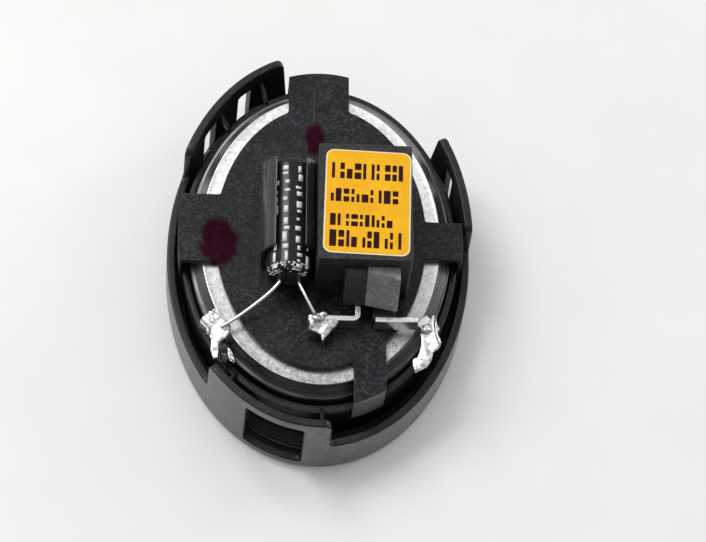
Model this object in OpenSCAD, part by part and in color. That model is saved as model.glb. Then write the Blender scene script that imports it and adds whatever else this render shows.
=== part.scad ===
// Oval car tweeter, seen as it stands on its front rim with its back up.
// Millimetres. Origin: centre of the front rim, on the plane the rim rests on.
// +Z runs from the sound outlet to the back, +Y along the long axis.

/* [Casing] */
// Half width of the casing across X
case_a = 22.3; // [21.9:0.05:22.6]
// Half length of the casing along Y
case_b = 30.95; // [30.7:0.05:31.4]
// Thickness of the casing wall
case_wall = 1.2; // [1.0:0.05:1.3]
// Height of the low wall between the latch tabs
low_h = 7.4; // [6.8:0.1:7.8]
// Height of the wall between the north and east tabs, where it is cut down
low_n = 2.8; // [2.2:0.1:3.2]
// Height of the three latch tabs
tab_h = 13.9; // [13.2:0.1:14.6]
// Thickness of the front plate behind the rim
front_t = 1.3; // [1.1:0.1:1.4]
// Half width of the sound opening
mouth_a = 17.4; // [16.5:0.1:18.0]
// Half length of the sound opening
mouth_b = 26.0; // [25.0:0.1:26.5]

/* [Grille] */
// Thickness of the perforated sheet
grille_t = 0.5; // [0.4:0.05:0.5]
// Diameter of each perforation
grille_hole_d = 2.0; // [1.4:0.1:2.2]
// Distance between perforations
grille_pitch = 2.9; // [2.8:0.1:3.6]

/* [Driver frame] */
// Half width of the driver frame
frame_a = 20.0; // [19.8:0.05:20.1]
// Half length of the driver frame
frame_b = 26.6; // [26.3:0.1:26.8]
// Height at which the driver frame ends, at its back
frame_top = 9.7; // [9.4:0.1:9.9]

/* [Rear cup] */
// Half width of the metal cup
cup_a = 19.0; // [18.8:0.05:19.1]
// Half length of the metal cup
cup_b = 25.2; // [25.0:0.1:25.3]
// Height of the back face of the metal cup
cup_top = 12.3; // [12.2:0.05:12.4]
// Sheet thickness of the metal cup
cup_t = 0.7; // [0.5:0.05:0.7]

/* [Diaphragm and motor] */
// Radius of the dome at its edge
dome_r = 9.5; // [9.4:0.05:9.55]
// Height of the dome
dome_rise = 3.3; // [2.8:0.1:3.4]
// Radius of the magnet
magnet_r = 8.6; // [8.0:0.1:8.8]
// Outer radius of the steel yoke
yoke_r = 12.4; // [12.3:0.05:12.4]

/* [Rear carrier] */
// Half width of the round-ended carrier plate
plate_a = 15.25; // [15.0:0.05:15.5]
// Half length of the carrier plate
plate_b = 21.5; // [21.0:0.1:21.8]
// Thickness of the carrier plate
plate_t = 1.0; // [0.9:0.05:1.0]

/* [Connector] */
// Height of the connector housing above the carrier plate
conn_h = 11.1; // [10.6:0.1:11.6]
// Distance between the two connector pins
pin_pitch = 2.54; // [2.5:0.01:2.54]

/* [Capacitor] */
// Diameter of the capacitor over its sleeve
cap_d = 6.6; // [6.4:0.05:6.6]
// Length of the capacitor over its sleeve
cap_len = 18.0; // [17.4:0.1:18.2]

/* [Hidden] */

gasket_z = front_t + grille_t;         // seal starts on the grille
seat_z = gasket_z + 0.8;               // driver frame starts here
floor_z = 6.5;                         // front face of the frame's floor
floor_top = 8.0;                       // back face of the frame's floor
pole_z = 7.4;
yoke_top = cup_top - cup_t;            // yoke is welded to the cup
magnet_z = 8.6;
plate_z = cup_top;                     // carrier plate lies on the cup
plate_top = plate_z + plate_t;
conn_x0 = -1.0;
conn_x1 = 12.2;
conn_y0 = -10.0;
conn_y1 = 8.5;
conn_top = plate_top + conn_h;
pin_x1 = 5.1;                          // first pin
pin_x2 = pin_x1 + pin_pitch;           // second pin
pin_t = 0.8;
pin_z = 13.5;
pin_h = 2.6;
cap_x = -4.65;
cap_z = 16.9;
cap_y0 = -9.3;                         // lead end
term_x = 16.1;                         // lugs, in the frame's rim
term_y = -15.0;
term_ang = 43;                         // their turn off the X axis
e = 0.01;

// ---------- shared shapes ----------
// Radius of an oval at an azimuth
function oval_r(a, b, t) = 1 / sqrt(pow(cos(t) / a, 2) + pow(sin(t) / b, 2));

// Upright oval, k = its top outline over its bottom outline
module oval(a, b, h, z0 = 0, k = 1)
    translate([0, 0, z0])
        if (k == 1) linear_extrude(height = h) scale([a, b]) circle(r = 1, $fn = 160);
        else scale([a, b, 1]) cylinder(r1 = 1, r2 = k, h = h, $fn = 160);

// Oval ring with a straight wall
module oval_ring(a1, b1, a0, b0, h, z0 = 0)
    difference() {
        oval(a1, b1, h, z0);
        oval(a0, b0, h + 0.4, z0 - 0.2);
    }

// Pie slice from the origin through two points, z0 to z0 + h
module slice(p, q, h, z0 = 0)
    translate([0, 0, z0]) linear_extrude(height = h)
        polygon([[0, 0], 1.6 * p, 1.9 * (p + q) / 2, 1.6 * q]);

// Round wire of diameter d along a list of points, as one swept tube
function unit(v) = v / norm(v);
function side(t) = unit(cross(t, abs(t[2]) < 0.9 ? [0, 0, 1] : [1, 0, 0]));
function tangent(p, i) = unit(p[min(i + 1, len(p) - 1)] - p[max(i - 1, 0)]);
// Smooth curve through the points, n steps between each pair
function curve(p, n) = [for (i = [0 : len(p) - 2], k = [0 : n - (i == len(p) - 2 ? 0 : 1)])
    let (t = k / n, a = p[max(i - 1, 0)], b = p[i], c = p[i + 1], d = p[min(i + 2, len(p) - 1)])
    0.5 * (2 * b + (c - a) * t + (2 * a - 5 * b + 4 * c - d) * t * t + (3 * b - a - 3 * c + d) * t * t * t)];
module wire(p, d, m = 12) {
    n = len(p);
    polyhedron(
        points = [for (i = [0 : n - 1]) let (t = tangent(p, i), u = side(t), v = cross(t, u))
            for (k = [0 : m - 1]) p[i] + d / 2 * (cos(360 * k / m) * u + sin(360 * k / m) * v)],
        faces = concat([[for (k = [0 : m - 1]) k]],
            [for (i = [0 : n - 2], k = [0 : m - 1])
                [i * m + k, (i + 1) * m + k, (i + 1) * m + (k + 1) % m, i * m + (k + 1) % m]],
            [[for (k = [m - 1 : -1 : 0]) (n - 1) * m + k]]));
}

// ---------- casing ----------
tab_s = [[-15.6, -21.5], [1.9, -30.8]];
tab_w = [[-6.2, 28.9], [-20.3, 12.2]];
tab_e = [[17.9, 16.4], [21.9, 0.9]];
// Windows: centre on the wall, turn, width
windows = [[-6.3, -29.2, -23.4, 8.9], [-12.2, 25.1, 43.6, 2.6],
    [-17.25, 18.4, 61.4, 2.6], [19.9, 12.1, -72.7, 2.6]];
// Azimuths of the snap ribs that hold the driver frame down
ribs = [241, 271, 109, 126, 12, 24];

module wall_solid(h)
    oval_ring(case_a, case_b, case_a - case_wall, case_b - case_wall, h);

module bezel_ring() color([0.13, 0.13, 0.14]) difference() {
    union() {
        wall_solid(low_h);
        // front plate with the sound opening
        oval_ring(case_a - 0.6, case_b - 0.6, mouth_a, mouth_b, front_t);
        for (t = [tab_s, tab_w, tab_e]) intersection() {
            wall_solid(tab_h);
            slice(t[0], t[1], tab_h, 0);
        }
        for (r = ribs) rotate([0, 0, r])
            translate([oval_r(frame_a, frame_b, r) - 0.5, -0.5, frame_top + 0.05])
                cube([oval_r(case_a, case_b, r) - oval_r(frame_a, frame_b, r) - 0.1, 1.0, 1.4]);
    }
    for (w = windows) translate([w[0], w[1], 1.4]) rotate([0, 0, w[2]])
        translate([-w[3] / 2, -2.4, 0]) cube([w[3], 4.8, 10.4]);
    // cut-down wall on the north side
    slice(tab_e[0], tab_w[0], 20, low_n);
}

// ---------- front ----------
module front_grille() color([0.08, 0.08, 0.09])
    translate([0, 0, front_t]) linear_extrude(height = grille_t) difference() {
        scale([20.4, 29.1]) circle(r = 1, $fn = 160);
        for (i = [-9 : 9], j = [-11 : 11]) {
            x = (i + (abs(j) % 2) / 2) * grille_pitch;
            y = j * grille_pitch * 0.866;
            if (pow(x / (mouth_a - 1.3), 2) + pow(y / (mouth_b - 1.3), 2) < 1)
                translate([x, y]) circle(d = grille_hole_d, $fn = 24);
        }
    }

module seal_gasket() color([0.2, 0.2, 0.2])
    oval_ring(20.2, 28.8, 17.9, 24.5, 0.8, gasket_z);

module waveguide_ring() color([0.1, 0.1, 0.11]) difference() {
    oval(17.7, 24.2, 6.3 - seat_z, seat_z);
    translate([0, 0, seat_z - 0.01]) cylinder(r1 = 16.2, r2 = 12.5, h = 6.3 - seat_z + 0.02, $fn = 96);
}

// ---------- driver frame ----------
module driver_frame() color([0.07, 0.07, 0.08]) difference() {
    oval(frame_a, frame_b, frame_top - seat_z, seat_z);
    // pocket for the waveguide, pocket for the cup, bore for the yoke
    oval(17.9, 24.4, floor_z - seat_z + 0.1, seat_z - 0.1);
    oval(cup_a + 0.2, cup_b + 0.2, 4, floor_top);
    translate([0, 0, floor_z - 1]) cylinder(r = yoke_r, h = 4, $fn = 96);
    // slots for the two lugs, channels for their leads
    for (s = [-1, 1]) {
        translate([s * term_x, term_y, 6.6]) rotate([0, 0, -s * term_ang])
            translate([-0.3, -1.0, 0]) cube([0.6, 2.0, 6]);
        translate([0, 0, 6.9]) rotate([0, 0, s < 0 ? 180 + term_ang : -term_ang])
            translate([12.2, -0.4, -0.4]) cube([10.0, 0.8, 0.8]);
    }
}

// ---------- moving diaphragm ----------
dome_R = (dome_r * dome_r + dome_rise * dome_rise) / (2 * dome_rise);
module dome_diaphragm() color([0.12, 0.12, 0.13]) intersection() {
    difference() {
        translate([0, 0, 6.3 - dome_rise + dome_R]) sphere(r = dome_R, $fn = 96);
        translate([0, 0, 6.3 - dome_rise + dome_R]) sphere(r = dome_R - 0.25, $fn = 96);
    }
    translate([0, 0, 2]) cylinder(r = 12, h = 6.3 - 2, $fn = 96);
}

module surround() color([0.09, 0.09, 0.1]) {
    translate([0, 0, 6.3]) rotate_extrude($fn = 96) {
        // half roll that bulges to the front
        translate([11.0, 0]) difference() {
            circle(r = 1.3, $fn = 32);
            circle(r = 1.1, $fn = 32);
            translate([-2, 0]) square([4, 2]);
        }
        translate([12.1, 0]) square([1.2, 0.2]);
        translate([9.45, 0]) square([0.45, 0.2]);
    }
}

module voice_coil_former() color([0.75, 0.62, 0.35]) difference() {
    translate([0, 0, 6.3]) cylinder(r = 9.42, h = 3.0, $fn = 96);
    translate([0, 0, 6.0]) cylinder(r = 9.3, h = 4.0, $fn = 96);
}

module voice_coil_winding() color([0.72, 0.4, 0.2]) difference() {
    translate([0, 0, 7.2]) cylinder(r = 9.72, h = 1.8, $fn = 96);
    translate([0, 0, 7.0]) cylinder(r = 9.42, h = 2.4, $fn = 96);
}

// ---------- motor ----------
module damping_felt() color([0.45, 0.45, 0.43])
    translate([0, 0, 6.9]) cylinder(r = 7.4, h = pole_z - 6.9, $fn = 64);

module pole_piece() color([0.55, 0.56, 0.58])
    translate([0, 0, pole_z]) cylinder(r = 9.0, h = magnet_z - pole_z, $fn = 96);

module magnet() color([0.62, 0.63, 0.65])
    translate([0, 0, magnet_z]) cylinder(r = magnet_r, h = yoke_top - 1.0 - magnet_z, $fn = 96);

module yoke_cup() color([0.5, 0.51, 0.53]) difference() {
    translate([0, 0, pole_z]) cylinder(r = yoke_r, h = yoke_top - pole_z, $fn = 96);
    translate([0, 0, pole_z - 1]) cylinder(r = 10.05, h = yoke_top - 1.0 - pole_z + 1, $fn = 96);
}

module chamber_felt() color([0.6, 0.58, 0.52]) difference() {
    oval(16.6, 22.6, 1.6, floor_top + 0.6);
    translate([0, 0, 7]) cylinder(r = yoke_r + 0.3, h = 6, $fn = 96);
}

// Stamped oval cup with a rolled shoulder
module rear_cup() color([0.8, 0.81, 0.82]) difference() {
    union() {
        oval(cup_a, cup_b, cup_top - 1.5 - floor_top, floor_top);
        oval(cup_a, cup_b, 1.0, cup_top - 1.5, 0.965);
        oval(cup_a * 0.965, cup_b * 0.965, 0.5, cup_top - 0.5, 0.963);
    }
    union() {
        oval(cup_a - cup_t, cup_b - cup_t, cup_top - 1.7 - floor_top + 0.1, floor_top - 0.1);
        oval(cup_a - cup_t, cup_b - cup_t, 1.0, cup_top - 1.7, 0.955);
    }
}

// ---------- rear carrier ----------
// Arm: half width range on its axis, outer outline
module arm_zone(x0, x1, y0, y1, h, z0)
    translate([x0, y0, z0]) cube([x1 - x0, y1 - y0, h]);

module arms(h, z0) {
    arm_zone(-5.0, 4.0, 0, 40, h, z0);
    arm_zone(4.7, 9.3, -40, 0, h, z0);
    arm_zone(-40, 0, -5.2, 5.9, h, z0);
    arm_zone(0, 40, -3.7, 2.5, h, z0);
}

module rear_carrier() color([0.12, 0.125, 0.13]) {
    difference() {
        union() {
            oval(plate_a, plate_b, plate_t, plate_z);
            intersection() {
                oval(20.7, 27.5, plate_t, plate_z);
                arms(plate_t, plate_z);
            }
            // legs outside the cup and the driver frame
            intersection() {
                oval_ring(20.7, 27.5, frame_a + 0.1, frame_b + 0.1, plate_top - 8.0, 8.0);
                arms(plate_top - 8.0, 8.0);
            }
            // capacitor cradle
            difference() {
                union() {
                    translate([cap_x, -6.6, cap_z]) rotate([-90, 0, 0]) cylinder(d = 8.3, h = 15.2, $fn = 64);
                    translate([cap_x - 4.15, -6.6, plate_top - 0.2]) cube([8.3, 15.2, cap_z - plate_top + 0.2]);
                }
                translate([cap_x - 2.05, -20, cap_z]) cube([4.1, 40, 10]);
            }
        }
        // seat of the capacitor
        translate([cap_x, cap_y0 - 1.2, cap_z]) rotate([-90, 0, 0]) cylinder(d = cap_d, h = cap_len + 1.2, $fn = 64);
        // the housing's side of the cradle is cut flush
        translate([conn_x0, conn_y0, plate_top]) cube([4, conn_y1 - conn_y0, 12]);
    }
}

// ---------- connector ----------
module connector_housing() color([0.12, 0.125, 0.13]) difference() {
    union() {
        translate([conn_x0, conn_y0, plate_top]) cube([conn_x1 - conn_x0, conn_y1 - conn_y0, conn_h]);
        // sloped block that the pins come out of
        hull() {
            translate([3.4, conn_y0 - 3.0, plate_top + 2.9]) cube([3.2, 3.0, 0.2]);
            translate([3.4, conn_y0 - 0.8, conn_top - 2.2]) cube([3.2, 0.8, 0.2]);
        }
        hull() {
            translate([0, 0, plate_top + 2.9]) linear_extrude(height = 0.2)
                polygon([[6.6, conn_y0], [6.6, conn_y0 - 3.0], [11.2, conn_y0 - 3.9], [11.2, conn_y0]]);
            translate([0, 0, conn_top - 2.2]) linear_extrude(height = 0.2)
                polygon([[6.6, conn_y0], [6.6, conn_y0 - 0.8], [11.2, conn_y0 - 1.9], [11.2, conn_y0]]);
        }
        translate([3.4, conn_y0 - 1.0, plate_top]) cube([7.8, 1.1, 3.0]);
    }
    // socket, open to +Y
    translate([conn_x0 + 1.4, conn_y0 + 8.0, plate_top + 1.3]) cube([conn_x1 - conn_x0 - 2.8, 12, conn_h - 2.6]);
    // latch notch in the socket's back wall
    translate([3.6, conn_y1 - 4.0, conn_top - 2]) cube([4.0, 3.0, 3]);
    // pin slots
    for (x = [pin_x1, pin_x2]) translate([x - pin_t / 2, conn_y0 - 5, pin_z])
        cube([pin_t, 19.5, pin_h]);
}

// Pins are blades on edge, bent apart behind the housing
module connector_pin_1() color([0.78, 0.79, 0.8]) {
    translate([pin_x1 - pin_t / 2, -15.3, pin_z]) cube([pin_t, 15.3 + 4.5, pin_h]);
    translate([-1.6, -15.3, pin_z]) cube([pin_x1 + 1.6, pin_t, pin_h]);
}
module connector_pin_2() color([0.78, 0.79, 0.8]) {
    translate([pin_x2 - pin_t / 2, -15.3, pin_z]) cube([pin_t, 15.3 + 4.5, pin_h]);
    translate([pin_x2, -15.3, pin_z]) cube([13.6 - pin_x2, pin_t, pin_h]);
}

// ---------- capacitor ----------
module along_y(y) translate([cap_x, y, cap_z]) rotate([-90, 0, 0]) children();

module capacitor_can() color([0.8, 0.8, 0.82]) difference() {
    along_y(cap_y0 + 0.2) cylinder(d = cap_d - 0.4, h = cap_len - 0.4, $fn = 64);
    along_y(cap_y0) cylinder(d = cap_d - 1.2, h = 2.2, $fn = 64);
}
module capacitor_sleeve() color([0.06, 0.06, 0.07]) difference() {
    along_y(cap_y0) cylinder(d = cap_d, h = cap_len, $fn = 64);
    along_y(cap_y0 + 0.2) cylinder(d = cap_d - 0.4, h = cap_len - 0.4, $fn = 64);
    along_y(cap_y0 - 1) cylinder(d = cap_d - 1.6, h = 3, $fn = 64);
    along_y(cap_y0 + cap_len - 2) cylinder(d = cap_d - 1.6, h = 3, $fn = 64);
}
module capacitor_bung() color([0.05, 0.05, 0.05]) difference() {
    along_y(cap_y0 + 0.2) cylinder(d = cap_d - 1.2, h = 2.0, $fn = 64);
    for (s = [-1, 1]) translate([cap_x + s * 1.35, cap_y0 - 1, cap_z]) rotate([-90, 0, 0])
        cylinder(d = 0.5, h = 4, $fn = 24);
}
lead_a = [[cap_x - 1.35, cap_y0 + 2.2, cap_z], [cap_x - 1.35, cap_y0 - 0.1, cap_z],
    [cap_x - 1.35, cap_y0 - 0.7, cap_z],
    [-7.9, -11.6, 16.0], [-10.6, -13.7, 14.8], [-13.6, -15.4, 13.7]];
lead_b = [[cap_x + 1.35, cap_y0 + 2.2, cap_z], [cap_x + 1.35, cap_y0 - 0.1, cap_z],
    [cap_x + 1.35, cap_y0 - 0.7, cap_z],
    [-2.2, -12.2, 16.9], [-0.7, -14.6, 16.6]];
module capacitor_lead_a() color([0.78, 0.79, 0.8]) wire(curve(lead_a, 5), 0.5);
module capacitor_lead_b() color([0.78, 0.79, 0.8]) wire(curve(lead_b, 5), 0.5);

// ---------- lugs, leads and joints ----------
// Lug: upright strip through the frame's rim, bent in over the cup's shoulder
module lug(s) translate([s * term_x, term_y, 0]) rotate([0, 0, -s * term_ang]) {
    translate([-0.3, -1.0, 6.6]) cube([0.6, 2.0, 6.6]);
    translate([s > 0 ? -2.6 : -0.3, -1.0, 12.7]) cube([2.9, 2.0, 0.5]);
}
module terminal_left() color([0.78, 0.79, 0.8]) lug(-1);
module terminal_right() color([0.78, 0.79, 0.8]) lug(1);

module tinsel(s) rotate([0, 0, s < 0 ? 180 + term_ang : -term_ang])
    wire(curve([[21.6, 0, 6.9], [17.0, 0, 6.9], [12.8, 0, 6.9], [10.9, 0, 6.8]], 3), 0.4, 8);
module tinsel_lead_left() color([0.7, 0.45, 0.25]) tinsel(-1);
module tinsel_lead_right() color([0.7, 0.45, 0.25]) tinsel(1);

// Solder flows round the lugs and pins it holds
module solder_left() color([0.82, 0.83, 0.84])
    translate([-14.3, -16.1, 13.3]) rotate([0, 0, 25]) scale([1.5, 2.8, 0.9]) sphere(r = 1, $fn = 32);
module solder_centre() color([0.82, 0.83, 0.84])
    translate([-0.6, -15.1, 15.6]) scale([2.0, 1.5, 1.3]) sphere(r = 1, $fn = 32);
module solder_right() color([0.82, 0.83, 0.84])
    translate([14.6, -16.4, 13.6]) rotate([0, 0, -20]) scale([1.8, 3.4, 1.1]) sphere(r = 1, $fn = 32);
module glue_bead() color([0.15, 0.1, 0.06])
    translate([-13.68, -19.33, frame_top + 0.9]) rotate([0, 0, 35]) scale([1.0, 1.6, 0.9]) sphere(r = 1, $fn = 32);

// ---------- label ----------
module label() color([1.0, 0.75, 0.05])
    translate([5.85, -0.9, conn_top]) rotate([0, 0, -1.5]) linear_extrude(height = 0.12)
        union() {
            square([12.1 - 2.4, 16.6], center = true);
            square([12.1, 16.6 - 2.4], center = true);
            for (x = [-1, 1], y = [-1, 1])
                translate([x * (6.05 - 1.2), y * (8.3 - 1.2)]) circle(r = 1.2, $fn = 32);
        }

bezel_ring();
front_grille();
seal_gasket();
waveguide_ring();
driver_frame();
surround();
dome_diaphragm();
voice_coil_former();
voice_coil_winding();
damping_felt();
pole_piece();
magnet();
yoke_cup();
chamber_felt();
rear_cup();
rear_carrier();
connector_housing();
connector_pin_1();
connector_pin_2();
capacitor_can();
capacitor_sleeve();
capacitor_bung();
capacitor_lead_a();
capacitor_lead_b();
terminal_left();
terminal_right();
tinsel_lead_left();
tinsel_lead_right();
solder_left();
solder_centre();
solder_right();
glue_bead();
label();
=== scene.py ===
import bpy, bmesh, math, random
import numpy as np
from mathutils import Vector, Matrix, noise
from mathutils.geometry import delaunay_2d_cdt


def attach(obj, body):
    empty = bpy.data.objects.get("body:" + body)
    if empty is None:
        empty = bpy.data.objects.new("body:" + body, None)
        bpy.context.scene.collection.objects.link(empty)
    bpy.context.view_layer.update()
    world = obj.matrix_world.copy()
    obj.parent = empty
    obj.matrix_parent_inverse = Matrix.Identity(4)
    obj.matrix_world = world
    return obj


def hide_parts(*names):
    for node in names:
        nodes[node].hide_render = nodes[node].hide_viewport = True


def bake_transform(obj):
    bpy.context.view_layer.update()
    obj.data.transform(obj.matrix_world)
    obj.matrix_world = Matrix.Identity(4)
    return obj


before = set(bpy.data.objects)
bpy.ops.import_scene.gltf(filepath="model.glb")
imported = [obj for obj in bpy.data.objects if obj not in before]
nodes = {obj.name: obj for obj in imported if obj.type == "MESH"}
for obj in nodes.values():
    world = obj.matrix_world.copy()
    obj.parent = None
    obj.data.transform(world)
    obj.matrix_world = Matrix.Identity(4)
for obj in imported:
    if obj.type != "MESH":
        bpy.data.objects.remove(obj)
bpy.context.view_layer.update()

# Oval car tweeter, standing on its front rim. Lengths below are in millimetres
# and are turned into metres when a mesh is made.
MM = 0.001
pi = math.pi
sin, cos, rad = math.sin, math.cos, math.radians
scene = bpy.context.scene

# ------------------------------------------------------------------ camera
az, el = rad(-8), rad(62)
back = Vector((sin(az) * cos(el), -cos(az) * cos(el), sin(el)))
TGT = Vector((0.0047, -0.0053, 0.012))
yy = Vector((0, 1, 0))
up = (yy + yy.dot(back) * -back).normalized()
right = (-back).cross(up)
cam = bpy.data.cameras.new("camera")
cam_ob = bpy.data.objects.new("camera", cam)
scene.collection.objects.link(cam_ob)
mx = Matrix((right, up, back)).transposed().to_4x4()
mx.translation = TGT + 0.300 * back
cam_ob.matrix_world = mx
cam.sensor_width = 36
cam.lens = 2085 / 706 * 36
cam.clip_start, cam.clip_end = 0.01, 20
scene.camera = cam_ob

# --------------------------------------------------------------- materials


class Mat:
    """A procedural material on one Principled shader, in object coordinates."""

    def __init__(s, name, color, rough=0.5, metal=0.0, **sockets):
        s.m = bpy.data.materials.new(name)
        s.m.use_nodes = True
        s.t = s.m.node_tree
        s.b = s.t.nodes["Principled BSDF"]
        s.b.inputs["Base Color"].default_value = (*color, 1)
        s.b.inputs["Roughness"].default_value = rough
        s.b.inputs["Metallic"].default_value = metal
        for k, v in sockets.items():
            s.b.inputs[k.replace("_", " ")].default_value = v
        s.co = s.t.nodes.new("ShaderNodeTexCoord").outputs["Object"]

    def node(s, kind, **props):
        n = s.t.nodes.new(kind)
        for k, v in props.items():
            setattr(n, k, v)
        return n

    def put(s, sock, v):
        if hasattr(v, "is_output") or isinstance(v, bpy.types.NodeSocket):
            s.t.links.new(v, sock)
        else:
            sock.default_value = v

    def coords(s, scale=(1, 1, 1), rot=(0, 0, 0), loc=(0, 0, 0)):
        n = s.node("ShaderNodeMapping")
        s.t.links.new(s.co, n.inputs["Vector"])
        n.inputs["Scale"].default_value = scale
        n.inputs["Rotation"].default_value = rot
        n.inputs["Location"].default_value = loc
        return n.outputs["Vector"]

    def noise(s, scale, detail=4, rough=0.55, vec=None, dist=0.0):
        n = s.node("ShaderNodeTexNoise")
        s.t.links.new(vec or s.co, n.inputs["Vector"])
        n.inputs["Scale"].default_value = scale
        n.inputs["Detail"].default_value = detail
        n.inputs["Roughness"].default_value = rough
        n.inputs["Distortion"].default_value = dist
        return n.outputs["Fac"]

    def voronoi(s, scale, feature="F1", out="Distance", vec=None, rnd=1.0):
        n = s.node("ShaderNodeTexVoronoi", feature=feature)
        s.t.links.new(vec or s.co, n.inputs["Vector"])
        n.inputs["Scale"].default_value = scale
        n.inputs["Randomness"].default_value = rnd
        return n.outputs[out]

    def ramp(s, fac, stops, mode="LINEAR"):
        n = s.node("ShaderNodeValToRGB")
        n.color_ramp.interpolation = mode
        el_ = n.color_ramp.elements
        while len(el_) < len(stops):
            el_.new(0.5)
        for e_, (p, c) in zip(el_, stops):
            e_.position = p
            e_.color = (c, c, c, 1) if not hasattr(c, "__len__") else (*c, 1)
        s.t.links.new(fac, n.inputs["Fac"])
        return n.outputs["Color"]

    def math(s, op, a, b=0.0, c=0.0, clamp=False):
        n = s.node("ShaderNodeMath", operation=op, use_clamp=clamp)
        for i, v in enumerate((a, b, c)):
            s.put(n.inputs[i], v)
        return n.outputs[0]

    def mix(s, fac, a, b):
        n = s.node("ShaderNodeMix", data_type="RGBA")
        s.put(n.inputs["Factor"], fac)
        for sock, v in ((n.inputs[6], a), (n.inputs[7], b)):
            if isinstance(v, (tuple, list)):
                v = (*v, 1) if len(v) == 3 else v
            s.put(sock, v)
        return n.outputs[2]

    def sep(s, which, vec=None):
        n = s.node("ShaderNodeSeparateXYZ")
        s.t.links.new(vec or s.co, n.inputs[0])
        return n.outputs[which]

    def near(s, point, radius, soft, wob=0.0, wscale=600):
        """1 inside a round patch about point (metres), with a ragged rim."""
        n = s.node("ShaderNodeVectorMath", operation="DISTANCE")
        s.t.links.new(s.co, n.inputs[0])
        n.inputs[1].default_value = point
        d = n.outputs["Value"]
        if wob:
            w = s.noise(wscale, 3)
            d = s.math("ADD", d, s.math("MULTIPLY", s.math("SUBTRACT", w, 0.5), wob))
        mr = s.node("ShaderNodeMapRange")
        s.t.links.new(d, mr.inputs["Value"])
        mr.inputs["From Min"].default_value = radius
        mr.inputs["From Max"].default_value = radius + soft
        mr.inputs["To Min"].default_value = 1
        mr.inputs["To Max"].default_value = 0
        return mr.outputs["Result"]

    def color(s, sock):
        s.t.links.new(sock, s.b.inputs["Base Color"])

    def rough(s, sock):
        s.t.links.new(sock, s.b.inputs["Roughness"])

    def bump(s, height, strength=0.3, dist=0.0001, prev=None):
        n = s.node("ShaderNodeBump")
        n.inputs["Strength"].default_value = strength
        n.inputs["Distance"].default_value = dist
        s.t.links.new(height, n.inputs["Height"])
        if prev is not None:
            s.t.links.new(prev, n.inputs["Normal"])
        s.t.links.new(n.outputs["Normal"], s.b.inputs["Normal"])
        return n.outputs["Normal"]


def plastic(name, dark, light, r0, r1, grain=5200, grain_h=0.000012, scuffs=0.35, streak=(900, 160, 900), spec=0.5, mottle=0.5):
    """Moulded satin plastic: fine grain, cloudy tone, faint scuffs and dust."""
    m = Mat(name, dark, (r0 + r1) / 2)
    cloud = m.noise(170, 5, 0.6)
    fine = m.noise(grain, 3, 0.6)
    sc = m.noise(1.0, 4, 0.65, vec=m.coords(scale=streak, rot=(0.2, 0.3, 0.5)))
    scr = m.ramp(sc, [(0.0, 0.0), (0.60, 0.0), (0.72, 1.0)])
    sc2 = m.noise(1.0, 3, 0.6, vec=m.coords(scale=(streak[1], streak[0], streak[0]), rot=(0.1, -0.2, -0.35)))
    scr2 = m.ramp(sc2, [(0.0, 0.0), (0.64, 0.0), (0.74, 1.0)])
    marks = m.math("MAXIMUM", scr, scr2)
    dust = m.ramp(m.noise(2600, 2, 0.5), [(0.0, 0.0), (0.69, 0.0), (0.76, 1.0)])
    tone = m.mix(m.ramp(cloud, [(0.3, 0.0), (0.7, 1.0)]), dark, light)
    worn = tuple(min(1, v * 2.1 + 0.012) for v in light)
    tone = m.mix(m.math("MULTIPLY", marks, scuffs), tone, worn)
    tone = m.mix(m.math("MULTIPLY", dust, 0.22), tone, (0.25, 0.25, 0.24))
    # fine rubbed mottling, stronger in some places than in others
    mo = m.ramp(m.noise(1900, 5, 0.78), [(0.47, 0.0), (0.62, 1.0)])
    mo = m.math("MULTIPLY", mo, m.ramp(m.noise(260, 3, 0.6), [(0.34, 0.25), (0.62, 1.0)]))
    tone = m.mix(m.math("MULTIPLY", mo, mottle), tone, tuple(min(1, v * 2.6 + 0.034) for v in light))
    m.b.inputs["Specular IOR Level"].default_value = spec
    m.color(tone)
    ro = m.node("ShaderNodeMapRange")
    m.t.links.new(m.math("ADD", m.math("MULTIPLY", cloud, 0.75), m.math("MULTIPLY", marks, 0.25)), ro.inputs["Value"])
    ro.inputs["From Min"].default_value = 0.25
    ro.inputs["From Max"].default_value = 0.75
    ro.inputs["To Min"].default_value = r0
    ro.inputs["To Max"].default_value = r1
    m.rough(ro.outputs["Result"])
    n1 = m.bump(fine, 0.5, grain_h)
    m.bump(m.math("SUBTRACT", 1.0, marks), 0.35, 0.00001, n1)
    return m


M = {}
M["casing"] = plastic("casing_satin", (0.0035, 0.0037, 0.0045), (0.0095, 0.0098, 0.0115), 0.28, 0.44, spec=0.32).m
# outer walls: some dust and wear, but mostly painted sheen; paler than the inside to stand for the bright table they
# reflect
M["casing_out"] = plastic("casing_satin_worn_painted_sheen", (0.080, 0.077, 0.076), (0.140, 0.133, 0.131), 0.30, 0.48, scuffs=0.5, mottle=0.35).m
M["frame"] = plastic("frame_satin", (0.0035, 0.0035, 0.0042), (0.009, 0.009, 0.0102), 0.34, 0.5, spec=0.3).m
M["cradle"] = plastic("cradle_satin", (0.010, 0.0105, 0.0125), (0.022, 0.0225, 0.026), 0.26, 0.40, spec=0.65).m

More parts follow.
